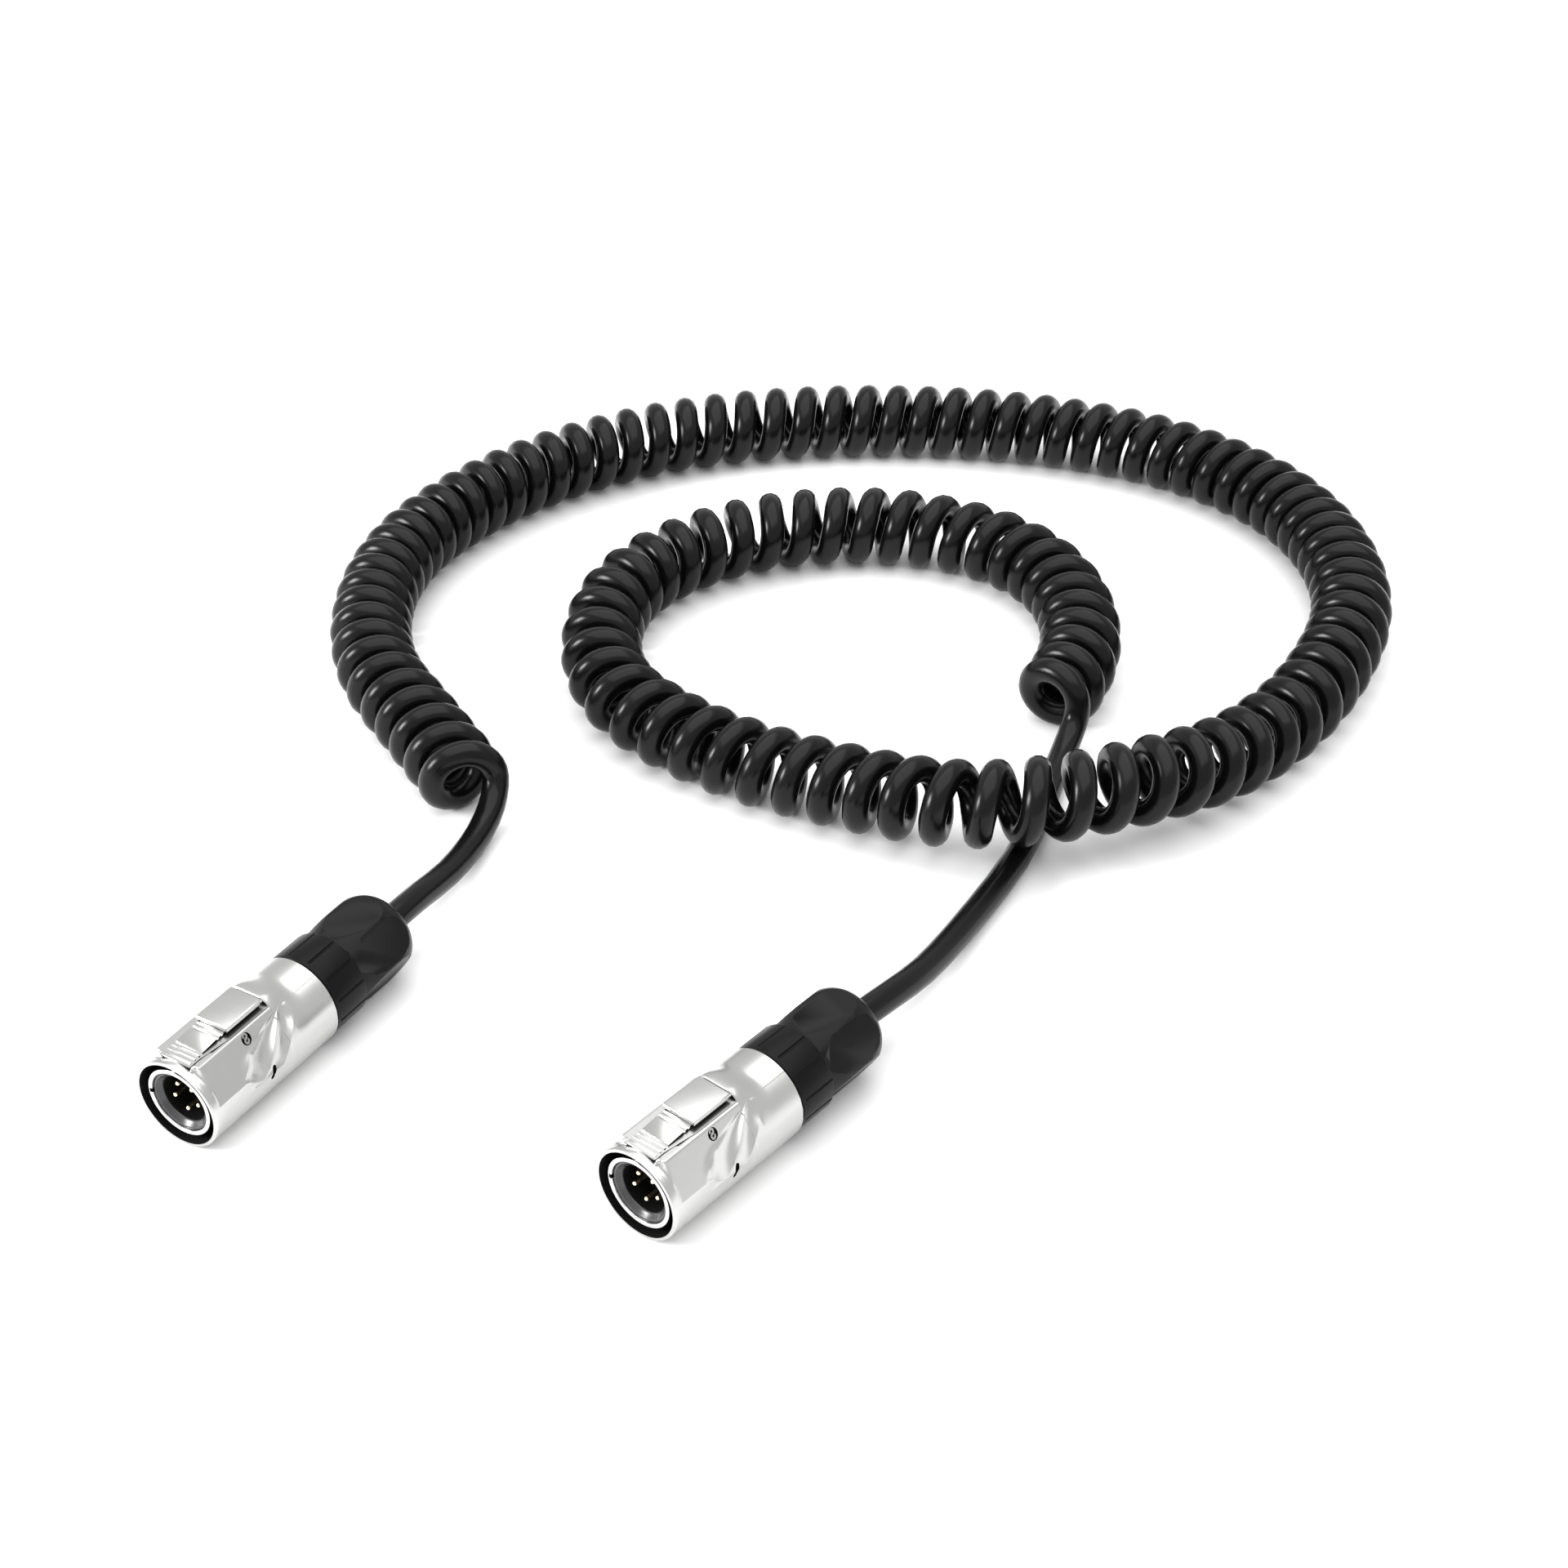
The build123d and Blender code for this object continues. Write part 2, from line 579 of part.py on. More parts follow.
# ---------------------------------------------------------------- back sleeve and gland
def make_back_sleeve():
    """Back sleeve: spigot in the shell, grooved collar, and threaded neck with the gland's seat."""
    with BuildPart() as sleeve:
        with BuildSketch(Plane.YZ):
            with BuildLine():
                Polyline(
                    (SOCKET_Y, SLEEVE_BORE_R),
                    (SOCKET_Y, SOCKET_R),
                    (COLLAR_Y, SOCKET_R),
                    (COLLAR_Y, COLLAR_R),
                    (NECK_Y, COLLAR_R),
                    (NECK_Y, NECK_R),
                    (NECK_REAR_Y, NECK_R),
                    (NECK_REAR_Y, GLAND_R),
                    (SEAL_SEAT_Y, GLAND_R),
                    (SEAL_SEAT_Y, GLAND_STEP_R),
                    (SEAL_SEAT_Y - GLAND_STEP_LENGTH, GLAND_STEP_R),
                    (SEAL_SEAT_Y - GLAND_STEP_LENGTH, SLEEVE_BORE_R),
                    close=True,
                )
            make_face()
        revolve(axis=Axis.Y)
        with BuildSketch(across(COLLAR_Y + GROOVE_START)):
            with PolarLocations(COLLAR_R, COLLAR_GROOVES):
                Circle(GROOVE_R)
        extrude(amount=-COLLAR_LENGTH, mode=Mode.SUBTRACT)
    return sleeve.part


def make_claw():
    """Slotted clamp ring whose fingers close on the cord."""
    with BuildPart() as claw:
        with BuildSketch(Plane.YZ):
            with BuildLine():
                Polyline(
                    (CLAW_FRONT_Y, CORD_R),
                    (CLAW_REAR_Y, CORD_R),
                    (CLAW_REAR_Y, CLAW_FLANGE_R),
                    (CLAW_FLANGE_Y, CLAW_FLANGE_R),
                    (CLAW_FLANGE_Y, GLAND_R),
                    (CLAW_FRONT_Y, GLAND_R),
                    close=True,
                )
            make_face()
        revolve(axis=Axis.Y)
        with BuildSketch(across(CLAW_FRONT_Y)):
            with PolarLocations(GLAND_R, CLAW_SLOTS):
                Rectangle(2 * GLAND_R - CORD_R, CLAW_SLOT_WIDTH)
        extrude(amount=-CLAW_SLOT_LENGTH, mode=Mode.SUBTRACT)
    return claw.part


def make_nut():
    """Gland nut: cone out to the corners of six flats, domed end, and a flared mouth."""
    cone_y = NUT_FRONT_Y + NUT_CONE_LENGTH
    dome_y = NUT_FRONT_Y + NUT_SIDE_LENGTH
    dome_r = (NUT_CORNER_R + NUT_END_R) / 2 + NUT_DOME_RISE
    thread_r = NECK_R + THREAD_FIT
    shoulder_y = WASHER_REAR_Y + AXIAL_GAP
    with BuildPart() as nut:
        with BuildSketch(Plane.YZ):
            with BuildLine():
                front = Line((NUT_FRONT_Y, 0), (NUT_FRONT_Y, NUT_BASE_R))
                cone = Line(front @ 1, (cone_y, NUT_CORNER_R))
                side = Line(cone @ 1, (dome_y, NUT_CORNER_R))
                dome = ThreePointArc(
                    side @ 1,
                    (NUT_REAR_Y - NUT_DOME_LENGTH, dome_r),
                    (NUT_REAR_Y, NUT_END_R),
                )
                back = Line(dome @ 1, (NUT_REAR_Y, 0))
                Line(back @ 1, front @ 0)
            make_face()
        revolve(axis=Axis.Y)
        with BuildSketch(across(NUT_FRONT_Y)):
            RegularPolygon(radius=NUT_FLAT_R, side_count=6, major_radius=False)
        extrude(amount=-NUT_LENGTH, mode=Mode.INTERSECT)
        with BuildSketch(Plane.YZ):
            with BuildLine():
                Polyline(
                    (NUT_FRONT_Y, 0),
                    (NUT_FRONT_Y, thread_r),
                    (shoulder_y, thread_r),
                    (shoulder_y, CORD_BORE_R),
                    (NUT_REAR_Y - NUT_MOUTH_LENGTH, CORD_BORE_R),
                    (NUT_REAR_Y, NUT_MOUTH_R),
                    (NUT_REAR_Y, 0),
                    close=True,
                )
            make_face()
        revolve(axis=Axis.Y, mode=Mode.SUBTRACT)
    return nut.part


# ---------------------------------------------------------------- cord
# Points of the coil's axis from its outer end to its inner end, then of each tail from its gland.
COIL_ROUTE = [
    (-85, 70.5, COIL_R),
    (-110, 80, COIL_R),
    (-153, 94.5, COIL_R),
    (-187.5, 134.5, COIL_R),
    (-196, 184, COIL_R),
    (-186, 232, COIL_R),
    (-161.5, 273.5, COIL_R),
    (-126, 308, COIL_R),
    (-84.5, 335, COIL_R),
    (-37.5, 350.5, COIL_R),
    (11.5, 344, COIL_R),
    (51.5, 310, COIL_R),
    (67, 262, COIL_R),
    (68, 220, COIL_R),
    (60, 178, 22),
    (35.5, 142, 22),
    (-5.5, 135, COIL_R),
    (-48, 123.5, COIL_R),
    (-93.5, 128.5, COIL_R),
    (-125, 170, COIL_R),
    (-117, 219.5, COIL_R),
    (-81.5, 257, COIL_R),
    (-32, 267, COIL_R),
    (8, 233, COIL_R),
    (12, 205, COIL_R),
]
TAIL_ROUTES = {
    "a": [(-60.5, 34, 9), (-63.5, 47, 6), (-69, 60, 4.5), (-76, 70, 7.5), (-83, 76.5, COIL_R)],
    "b": [
        (55, 86, 9),
        (53, 100, 5.5),
        (49.5, 124, CORD_R),
        (43, 149, CORD_R),
        (33, 173, CORD_R),
        (24, 192, 4.2),
        (18, 207, 9.5),
    ],
}


def corner_radii(points):
    """Arc radius at each corner: 0.45 of the shorter run over the tangent of half the turn."""
    radii = []
    for before, corner, after in zip(points, points[1:], points[2:]):
        run_in = Vector(corner) - Vector(before)
        run_out = Vector(after) - Vector(corner)
        half_turn = math.radians(run_in.get_angle(run_out)) / 2
        radii.append(0.45 * min(run_in.length, run_out.length) / math.tan(half_turn))
    return radii


def make_tube(name, points, radius):
    """Tube of straight runs and tangent arcs along the points."""
    radii = corner_radii(points)
    with BuildPart() as tube:
        with BuildLine() as path:
            FilletPolyline(*points, radius=radii)
        with BuildSketch(Plane(origin=path.line @ 0, z_dir=path.line % 0)):
            Circle(radius)
        sweep()
    length = path.wires()[0].length
    drift = tube.part.volume / (math.pi * radius**2 * length) - 1
    print(f"{name}: length {length:.1f}, volume off by {drift:.4%}")
    print("  radii", [round(r) for r in radii])
    return tube.part


def make_tail(name, place, route):
    """Tail: straight through the gland, out of the nut, and along its route to the coil."""
    jacket_end = place * Pos(0, JACKET_Y, 0)
    exit_at = (place * Pos(0, NUT_REAR_Y, 0)).position
    run_end = (place * Pos(0, NUT_REAR_Y + TAIL_EXIT_RUN, 0)).position
    free = make_tube(name, [tuple(exit_at), tuple(run_end)] + route, CORD_R)
    with BuildPart() as tail:
        add(free)
        with BuildSketch(Plane(origin=jacket_end.position, z_dir=exit_at - jacket_end.position)):
            Circle(CORD_R)
        extrude(amount=(exit_at - jacket_end.position).length)
    return tail.part


# ---------------------------------------------------------------- assembly
def write(part, node):
    """Labels a finished piece and writes its STEP file."""
    part.label = node
    export_step(part, f"parts/{node}.step")


def make_plug():
    """Every piece of one plug, in the plug's own axes."""
    return {
        "shell": make_shell(),
        "latch_lever": make_lever(),
        "latch_pin": make_pin(),
        "latch_spring": make_spring(),
        "mating_barrel": make_barrel(),
        "barrel_seal": make_ring(SEAL_FRONT_Y, FLANGE_FRONT_Y, BARREL_SEAT_R, MOUTH_R),
        "face_seal": make_face_seal(),
        "insert": make_insert(),
        "contacts": make_contacts(),
        "insert_retainer": make_retainer(),
        "core_wires": make_wires(),
        "body_gasket": make_ring(SHELL_LENGTH, COLLAR_Y, SOCKET_R, GASKET_R),
        "back_sleeve": make_back_sleeve(),
        "gland_seal": make_ring(SEAL_SEAT_Y, CLAW_FRONT_Y, CORD_R, GLAND_R),
        "gland_claw": make_claw(),
        "thrust_washer": make_ring(WASHER_Y, WASHER_REAR_Y, CORD_BORE_R, WASHER_R),
        "gland_nut": make_nut(),
    }


def main():
    """Builds the cord and both plugs and writes every node."""
    os.makedirs("parts", exist_ok=True)
    plug = make_plug()
    for side, (x, y, turn) in PLUG_PLACES.items():
        place = Location((x, y, SHELL_R), (0, 0, turn))
        for name, piece in plug.items():
            write(piece.moved(place), f"{name}_{side}")
        write(make_tail(f"cord_tail_{side}", place, TAIL_ROUTES[side]), f"cord_tail_{side}")
    write(make_tube("cord_coil", COIL_ROUTE, COIL_R), "cord_coil")


main()
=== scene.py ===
"""Coiled cable with a push-lock plug on each end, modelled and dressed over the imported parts.

Everything ends in metres in the parts' own frame: +Z is up, the floor is z = 0, and plug b's axis runs
along +Y from its mating face.  Each plug is modelled once in millimetres in its own axes (mating face at
y = 0, latch towards +Z), then copied and laid where each barrel mount of the record says.
"""

from __future__ import annotations

import json
import logging
import math
from dataclasses import dataclass
from enum import Enum

import bmesh
import bpy
from mathutils import Matrix, Vector


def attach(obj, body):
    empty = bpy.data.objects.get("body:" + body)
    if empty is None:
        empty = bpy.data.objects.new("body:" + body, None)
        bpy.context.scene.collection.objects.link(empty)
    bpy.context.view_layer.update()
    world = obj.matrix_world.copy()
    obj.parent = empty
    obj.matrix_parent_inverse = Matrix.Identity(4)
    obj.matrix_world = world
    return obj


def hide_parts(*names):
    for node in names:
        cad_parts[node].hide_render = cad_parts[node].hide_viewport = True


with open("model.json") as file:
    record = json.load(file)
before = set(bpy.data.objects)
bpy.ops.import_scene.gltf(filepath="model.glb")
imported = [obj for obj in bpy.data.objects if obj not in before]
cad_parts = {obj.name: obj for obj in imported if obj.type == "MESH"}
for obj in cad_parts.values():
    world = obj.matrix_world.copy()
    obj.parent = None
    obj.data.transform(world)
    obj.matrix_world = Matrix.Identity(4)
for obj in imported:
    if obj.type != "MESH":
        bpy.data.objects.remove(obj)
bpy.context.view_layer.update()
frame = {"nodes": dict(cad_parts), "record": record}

log = logging.getLogger("cable")
Points = list[tuple[float, float, float]]
Outline = list[tuple[float, float]]
MILLIMETRE = 0.001

# Axis of the coil from its outer end to its inner end, in metres.
COIL_ROUTE: Points = [
    (-0.0850, 0.0705, 0.0120),
    (-0.1100, 0.0800, 0.0120),
    (-0.1530, 0.0945, 0.0120),
    (-0.1875, 0.1345, 0.0120),
    (-0.1960, 0.1840, 0.0120),
    (-0.1860, 0.2320, 0.0120),
    (-0.1615, 0.2735, 0.0120),
    (-0.1260, 0.3080, 0.0120),
    (-0.0845, 0.3350, 0.0120),
    (-0.0375, 0.3505, 0.0120),
    (0.0115, 0.3440, 0.0120),
    (0.0515, 0.3100, 0.0120),
    (0.0670, 0.2620, 0.0120),
    (0.0680, 0.2200, 0.0120),
    (0.0600, 0.1780, 0.0205),
    (0.0355, 0.1420, 0.0205),
    (-0.0055, 0.1350, 0.0120),
    (-0.0480, 0.1235, 0.0120),
    (-0.0935, 0.1285, 0.0120),
    (-0.1250, 0.1700, 0.0120),
    (-0.1170, 0.2195, 0.0120),
    (-0.0815, 0.2570, 0.0120),
    (-0.0320, 0.2670, 0.0120),
    (0.0080, 0.2330, 0.0120),
    (0.0120, 0.2050, 0.0120),
]
# Each tail from its gland to the end of the winding.
TAIL_A_ROUTE: Points = [
    (-0.0615, 0.0300, 0.0100),
    (-0.0662, 0.0442, 0.0060),
    (-0.0720, 0.0586, 0.0042),
    (-0.0770, 0.0696, 0.0048),
    (-0.0800, 0.0755, 0.0080),
]
TAIL_B_ROUTE: Points = [
    (0.0550, 0.0860, 0.0090),
    (0.0520, 0.1005, 0.0055),
    (0.0470, 0.1250, 0.0038),
    (0.0422, 0.1493, 0.0038),
    (0.0330, 0.1730, 0.0038),
    (0.0265, 0.1880, 0.0040),
    (0.0225, 0.1985, 0.0048),
    (0.0208, 0.2045, 0.0080),
]
# Spacing of the turns at distances along the coil's axis, in metres: (distance, spacing).
TURN_SPACING: Outline = [
    (0.00, 0.0106),
    (0.12, 0.0087),
    (0.27, 0.0103),
    (0.48, 0.0087),
    (0.61, 0.0120),
    (0.78, 0.0104),
    (0.85, 0.0111),
    (1.10, 0.0098),
]


class Side(Enum):
    """The cable's two ends."""

    A = "a"
    B = "b"


class Body(Enum):
    """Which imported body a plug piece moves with, before its end's letter."""

    CABLE = "cable"
    LATCH = "latch"
    NUT = "gland_nut"


# ---------------------------------------------------------------- modelling helpers
def deselect() -> None:
    """Leave edit mode and select nothing."""
    if bpy.context.object and bpy.context.object.mode != "OBJECT":
        bpy.ops.object.mode_set(mode="OBJECT")
    bpy.ops.object.select_all(action="DESELECT")


def pick(piece: bpy.types.Object) -> None:
    """Select one piece and make it the active one.

    Args:
        piece: the piece to select.
    """
    deselect()
    piece.select_set(True)
    bpy.context.view_layer.objects.active = piece


def smooth(low: float, high: float, at: float) -> float:
    """Ease from 0 at low to 1 at high."""
    share = min(1.0, max(0.0, (at - low) / (high - low)))
    return share * share * (3 - 2 * share)


def soft_min(a: float, b: float, width: float) -> float:
    """Smaller of two values, rounded where they cross."""
    near = max(width - abs(a - b), 0.0) / width
    return min(a, b) - near * near * width / 4


def arc(centre: tuple[float, float], radius: float, start: float, end: float, steps: int) -> Outline:
    """Points along an arc, its angles in degrees from the outline's first axis.

    Args:
        centre: the arc's centre.
        radius: its radius.
        start: its first angle.
        end: its last angle.
        steps: its divisions.

    Returns:
        The points, both ends included.
    """
    found = []
    for i in range(steps + 1):
        angle = math.radians(start + (end - start) * i / steps)
        found.append((centre[0] + radius * math.cos(angle), centre[1] + radius * math.sin(angle)))
    return found


def linked(name: str, data: bpy.types.ID) -> bpy.types.Object:
    """Make an object of a mesh, curve, light or camera and put it in the scene.

    Args:
        name: the object's name.
        data: what it shows.

    Returns:
        The object.
    """
    piece = bpy.data.objects.new(name, data)
    bpy.context.scene.collection.objects.link(piece)
    return piece


def tidy(piece: bpy.types.Object) -> None:
    """Merge doubles and turn every face outwards.

    Args:
        piece: the mesh to clean.
    """
    pick(piece)
    bpy.ops.object.mode_set(mode="EDIT")
    bpy.ops.mesh.select_all(action="SELECT")
    bpy.ops.mesh.remove_doubles(threshold=1e-4)
    bpy.ops.mesh.normals_make_consistent(inside=False)
    bpy.ops.object.mode_set(mode="OBJECT")


def turned(name: str, outline: Outline, solid: bool = False, segments: int = 96) -> bpy.types.Object:
    """Turn an outline about the plug's axis: a circle is extruded and sized from point to point.

    Args:
        name: the piece's name.
        outline: pairs of place along the axis and radius.
        solid: True for a bar that is capped at both ends, False for a ring.
        segments: divisions round the axis.

    Returns:
        The closed piece, along +Y.
    """
    deselect()
    along, radius = outline[0]
    fill = "NGON" if solid else "NOTHING"
    start = (0, 0, along)
    bpy.ops.mesh.primitive_circle_add(vertices=segments, radius=radius, fill_type=fill, location=start)
    piece = bpy.context.object
    piece.name = piece.data.name = name
    bpy.ops.object.transform_apply(location=True)
    bpy.ops.object.mode_set(mode="EDIT")
    for to_along, to_radius in outline[1:]:
        bpy.ops.mesh.extrude_region_move(TRANSFORM_OT_translate={"value": (0, 0, to_along - along)})
        scale = to_radius / radius
        bpy.ops.transform.resize(value=(scale, scale, 1), center_override=(0, 0, to_along))
        along, radius = to_along, to_radius
    if not solid:
        bpy.ops.mesh.select_all(action="DESELECT")
        bpy.ops.mesh.select_non_manifold()
        bpy.ops.mesh.bridge_edge_loops()
    bpy.ops.object.mode_set(mode="OBJECT")
    piece.data.transform(Matrix.Rotation(-math.pi / 2, 4, "X"))
    tidy(piece)
    return piece


def prism(name: str, outline: Outline, half: float) -> bpy.types.Object:
    """Side outline of (y, z) points, extruded across the plug.

    Args:
        name: the piece's name.
        outline: the outline's points in order.
        half: half of the width along X.

    Returns:
        The closed piece.
    """
    mesh = bpy.data.meshes.new(name)
    mesh.from_pydata([(-half, y, z) for y, z in outline], [], [tuple(range(len(outline)))])
    piece = linked(name, mesh)
    pick(piece)
    bpy.ops.object.mode_set(mode="EDIT")
    bpy.ops.mesh.select_all(action="SELECT")
    bpy.ops.mesh.extrude_region_move(TRANSFORM_OT_translate={"value": (2 * half, 0, 0)})
    bpy.ops.object.mode_set(mode="OBJECT")
    tidy(piece)
    return piece


def slab(name: str, outline: Outline, low: float, high: float, spread: float = 0.0) -> bpy.types.Object:
    """Plan outline of (x, y) points, extruded upwards.

    Args:
        name: the piece's name.
        outline: the outline's points in order.
        low: height of its underside.
        high: height of its top.
        spread: how much further out from x = 0 the top's points lie.

    Returns:
        The closed piece.
    """
    count = len(outline)
    points = [(x, y, low) for x, y in outline]
    points += [(x + math.copysign(spread, x), y, high) for x, y in outline]
    faces = [tuple(range(count))[::-1], tuple(range(count, 2 * count))]
    faces += [(i, (i + 1) % count, count + (i + 1) % count, count + i) for i in range(count)]
    mesh = bpy.data.meshes.new(name)
    mesh.from_pydata(points, [], faces)
    piece = linked(name, mesh)
    tidy(piece)
    return piece


def block(name: str, low: tuple[float, ...], high: tuple[float, ...]) -> bpy.types.Object:
    """Upright block between two corners.

    Args:
        name: the block's name.
        low: its lowest corner.
        high: its highest corner.

    Returns:
        The block, its place in its mesh.
    """
    deselect()
    centre = [(a + b) / 2 for a, b in zip(low, high)]
    bpy.ops.mesh.primitive_cube_add(size=1, location=centre)
    piece = bpy.context.object
    piece.name = piece.data.name = name
    piece.scale = [b - a for a, b in zip(low, high)]
    bpy.ops.object.transform_apply(location=True, rotation=True, scale=True)
    return piece


def combine(piece: bpy.types.Object, tool: bpy.types.Object, operation: str = "DIFFERENCE") -> None:
    """Cut a tool out of a piece, or weld it on, and remove the tool.

    Args:
        piece: the piece that is kept.
        tool: the closed shape that works on it; its material shows on the faces that it cuts.
        operation: DIFFERENCE or UNION.
    """
    pick(piece)
    modifier = piece.modifiers.new("combine", "BOOLEAN")
    modifier.operation = operation
    modifier.object = tool
    modifier.solver = "EXACT"
    modifier.material_mode = "TRANSFER"
    bpy.ops.object.modifier_apply(modifier=modifier.name)
    bpy.data.objects.remove(tool)


def soften(piece: bpy.types.Object, width: float, angle: float = 30.0, segments: int = 2) -> None:
    """Round the edges that turn by more than an angle.

    Args:
        piece: the piece.
        width: the rounding's width.
        angle: the least turn, in degrees.
        segments: the rounding's divisions.
    """
    pick(piece)
    modifier = piece.modifiers.new("soften", "BEVEL")
    modifier.width = width
    modifier.segments = segments
    modifier.limit_method = "ANGLE"
    modifier.angle_limit = math.radians(angle)
    modifier.harden_normals = False
    bpy.ops.object.modifier_apply(modifier=modifier.name)


def shade(piece: bpy.types.Object, angle: float = 32.0) -> None:
    """Shade smooth, with edges sharper than an angle left crisp."""
    pick(piece)
    bpy.ops.object.shade_smooth_by_angle(angle=math.radians(angle))


def join(name: str, pieces: list[bpy.types.Object]) -> bpy.types.Object:
    """Join pieces into one mesh.

    Args:
        name: the joined piece's name.
        pieces: the pieces, at least one.

    Returns:
        The joined piece.
    """
    deselect()
    for piece in pieces:
        piece.select_set(True)
    bpy.context.view_layer.objects.active = pieces[0]
    bpy.ops.object.join()
    pieces[0].name = pieces[0].data.name = name
    return pieces[0]


# ---------------------------------------------------------------- finishes
def surface_group() -> bpy.types.NodeTree:
    """Shader group that mottles a colour and a roughness and gives a fine grain to bump.

    Returns:
        The group, with colour, roughness and height outputs.
    """
    if "surface_variation" in bpy.data.node_groups:
        return bpy.data.node_groups["surface_variation"]
    group = bpy.data.node_groups.new("surface_variation", "ShaderNodeTree")
    face = group.interface
    face.new_socket("Colour", in_out="INPUT", socket_type="NodeSocketColor")
    for value in ("Colour spread", "Roughness", "Roughness spread", "Mottle scale", "Grain scale"):
        face.new_socket(value, in_out="INPUT", socket_type="NodeSocketFloat")
    face.new_socket("Colour", in_out="OUTPUT", socket_type="NodeSocketColor")
    for value in ("Roughness", "Height"):
        face.new_socket(value, in_out="OUTPUT", socket_type="NodeSocketFloat")
    nodes, links = group.nodes, group.links
    given, out = nodes.new("NodeGroupInput"), nodes.new("NodeGroupOutput")
    place = nodes.new("ShaderNodeTexCoord")
    mottle, grain = nodes.new("ShaderNodeTexNoise"), nodes.new("ShaderNodeTexNoise")
    mottle.inputs["Detail"].default_value = 4.0
    grain.inputs["Detail"].default_value = 2.0
    for texture, scale in ((mottle, "Mottle scale"), (grain, "Grain scale")):
        links.new(place.outputs["Object"], texture.inputs["Vector"])
        links.new(given.outputs[scale], texture.inputs["Scale"])
    centred = nodes.new("ShaderNodeMath")
    centred.operation = "SUBTRACT"
    centred.inputs[1].default_value = 0.5
    links.new(mottle.outputs["Fac"], centred.inputs[0])
    for spread, base, result in (
        ("Colour spread", "Colour", "Colour"),
        ("Roughness spread", "Roughness", "Roughness"),
    ):
        amount = nodes.new("ShaderNodeMath")
        amount.operation = "MULTIPLY"
        links.new(centred.outputs[0], amount.inputs[0])
        links.new(given.outputs[spread], amount.inputs[1])
        if base == "Colour":
            factor = nodes.new("ShaderNodeMath")
            factor.operation = "ADD"
            factor.inputs[1].default_value = 1.0
            links.new(amount.outputs[0], factor.inputs[0])
            scaled = nodes.new("ShaderNodeVectorMath")
            scaled.operation = "SCALE"
            links.new(given.outputs[base], scaled.inputs[0])
            links.new(factor.outputs[0], scaled.inputs["Scale"])
            links.new(scaled.outputs[0], out.inputs[result])
        else:
            total = nodes.new("ShaderNodeMath")
            total.operation = "ADD"
            total.use_clamp = True
            links.new(amount.outputs[0], total.inputs[0])
            links.new(given.outputs[base], total.inputs[1])
            links.new(total.outputs[0], out.inputs[result])
    links.new(grain.outputs["Fac"], out.inputs["Height"])
    return group


@dataclass(frozen=True)
class Finish:
    """One surface finish: colour, gloss, how much they vary, and the grain's depth."""

    name: str
    colour: tuple[float, float, float]
    roughness: float
    metallic: float = 0.0
    colour_spread: float = 0.3
    roughness_spread: float = 0.15
    mottle_scale: float = 220.0
    grain_scale: float = 2400.0
    grain_depth: float = 0.000003
    specular: float = 0.5

    def material(self) -> bpy.types.Material:
        """Make the material, or find it if it is already made.

        Returns:
            The material.
        """
        name = f"finish_{self.name}"
        if name in bpy.data.materials:
            return bpy.data.materials[name]
        material = bpy.data.materials.new(name)
        material.use_nodes = True
        nodes, links = material.node_tree.nodes, material.node_tree.links
        shader = nodes["Principled BSDF"]
        shader.inputs["Metallic"].default_value = self.metallic
        shader.inputs["Specular IOR Level"].default_value = self.specular
        surface = nodes.new("ShaderNodeGroup")
        surface.node_tree = surface_group()
        surface.inputs["Colour"].default_value = (*self.colour, 1.0)
        surface.inputs["Colour spread"].default_value = self.colour_spread
        surface.inputs["Roughness"].default_value = self.roughness
        surface.inputs["Roughness spread"].default_value = self.roughness_spread
        surface.inputs["Mottle scale"].default_value = self.mottle_scale
        surface.inputs["Grain scale"].default_value = self.grain_scale
        links.new(surface.outputs["Colour"], shader.inputs["Base Color"])
        links.new(surface.outputs["Roughness"], shader.inputs["Roughness"])
        bump = nodes.new("ShaderNodeBump")
        bump.inputs["Strength"].default_value = 1.0
        bump.inputs["Distance"].default_value = self.grain_depth
        links.new(surface.outputs["Height"], bump.inputs["Height"])
        links.new(bump.outputs["Normal"], shader.inputs["Normal"])
        return material


SATIN_NICKEL = Finish(
    "satin_nickel", (0.54, 0.54, 0.53), 0.29, 1.0, colour_spread=0.04, roughness_spread=0.06
)
LATCH_NICKEL = Finish(
    "latch_nickel", (0.56, 0.56, 0.55), 0.25, 1.0, colour_spread=0.04, roughness_spread=0.06
)
BRIGHT_NICKEL = Finish(
    "bright_nickel", (0.66, 0.66, 0.66), 0.12, 1.0, colour_spread=0.03, roughness_spread=0.05
)
SPRING_STEEL = Finish("spring_steel", (0.42, 0.42, 0.42), 0.25, 1.0, colour_spread=0.1)
# Painted shade: a near-black matte colour put on the faces of bores, slots, pockets and gaps where shade
# falls. It is not a finish of the metal.
RECESS_PAINTED_SHADE = Finish("recess_painted_shade", (0.004, 0.004, 0.004), 0.8, specular=0.1)
SEAL_RUBBER = Finish("seal_rubber", (0.010, 0.010, 0.010), 0.55, specular=0.3)
FACE_SEAL_RUBBER = Finish("face_seal_rubber", (0.040, 0.040, 0.042), 0.26, specular=0.5)
# The contact insert's own black. The face seal's deep faces also use it as painted shade.
INSERT_BLACK_AND_PAINTED_SHADE = Finish("insert_black", (0.003, 0.003, 0.003), 0.75, specular=0.1)
PALE_GOLD = Finish("pale_gold", (0.95, 0.86, 0.66), 0.18, 1.0, colour_spread=0.06)
TURNED_NICKEL = Finish("turned_nickel", (0.70, 0.69, 0.64), 0.3, 1.0)
CORE_VINYL = Finish("core_vinyl", (0.72, 0.70, 0.66), 0.4, colour_spread=0.2)
SLEEVE_NYLON = Finish("sleeve_nylon", (0.004, 0.004, 0.004), 0.34, grain_depth=0.000004, specular=0.11)
NUT_NYLON = Finish("nut_nylon", (0.005, 0.005, 0.0055), 0.32, grain_depth=0.000004, specular=0.15)
PALE_NYLON = Finish("pale_nylon", (0.78, 0.77, 0.73), 0.45, colour_spread=0.1)
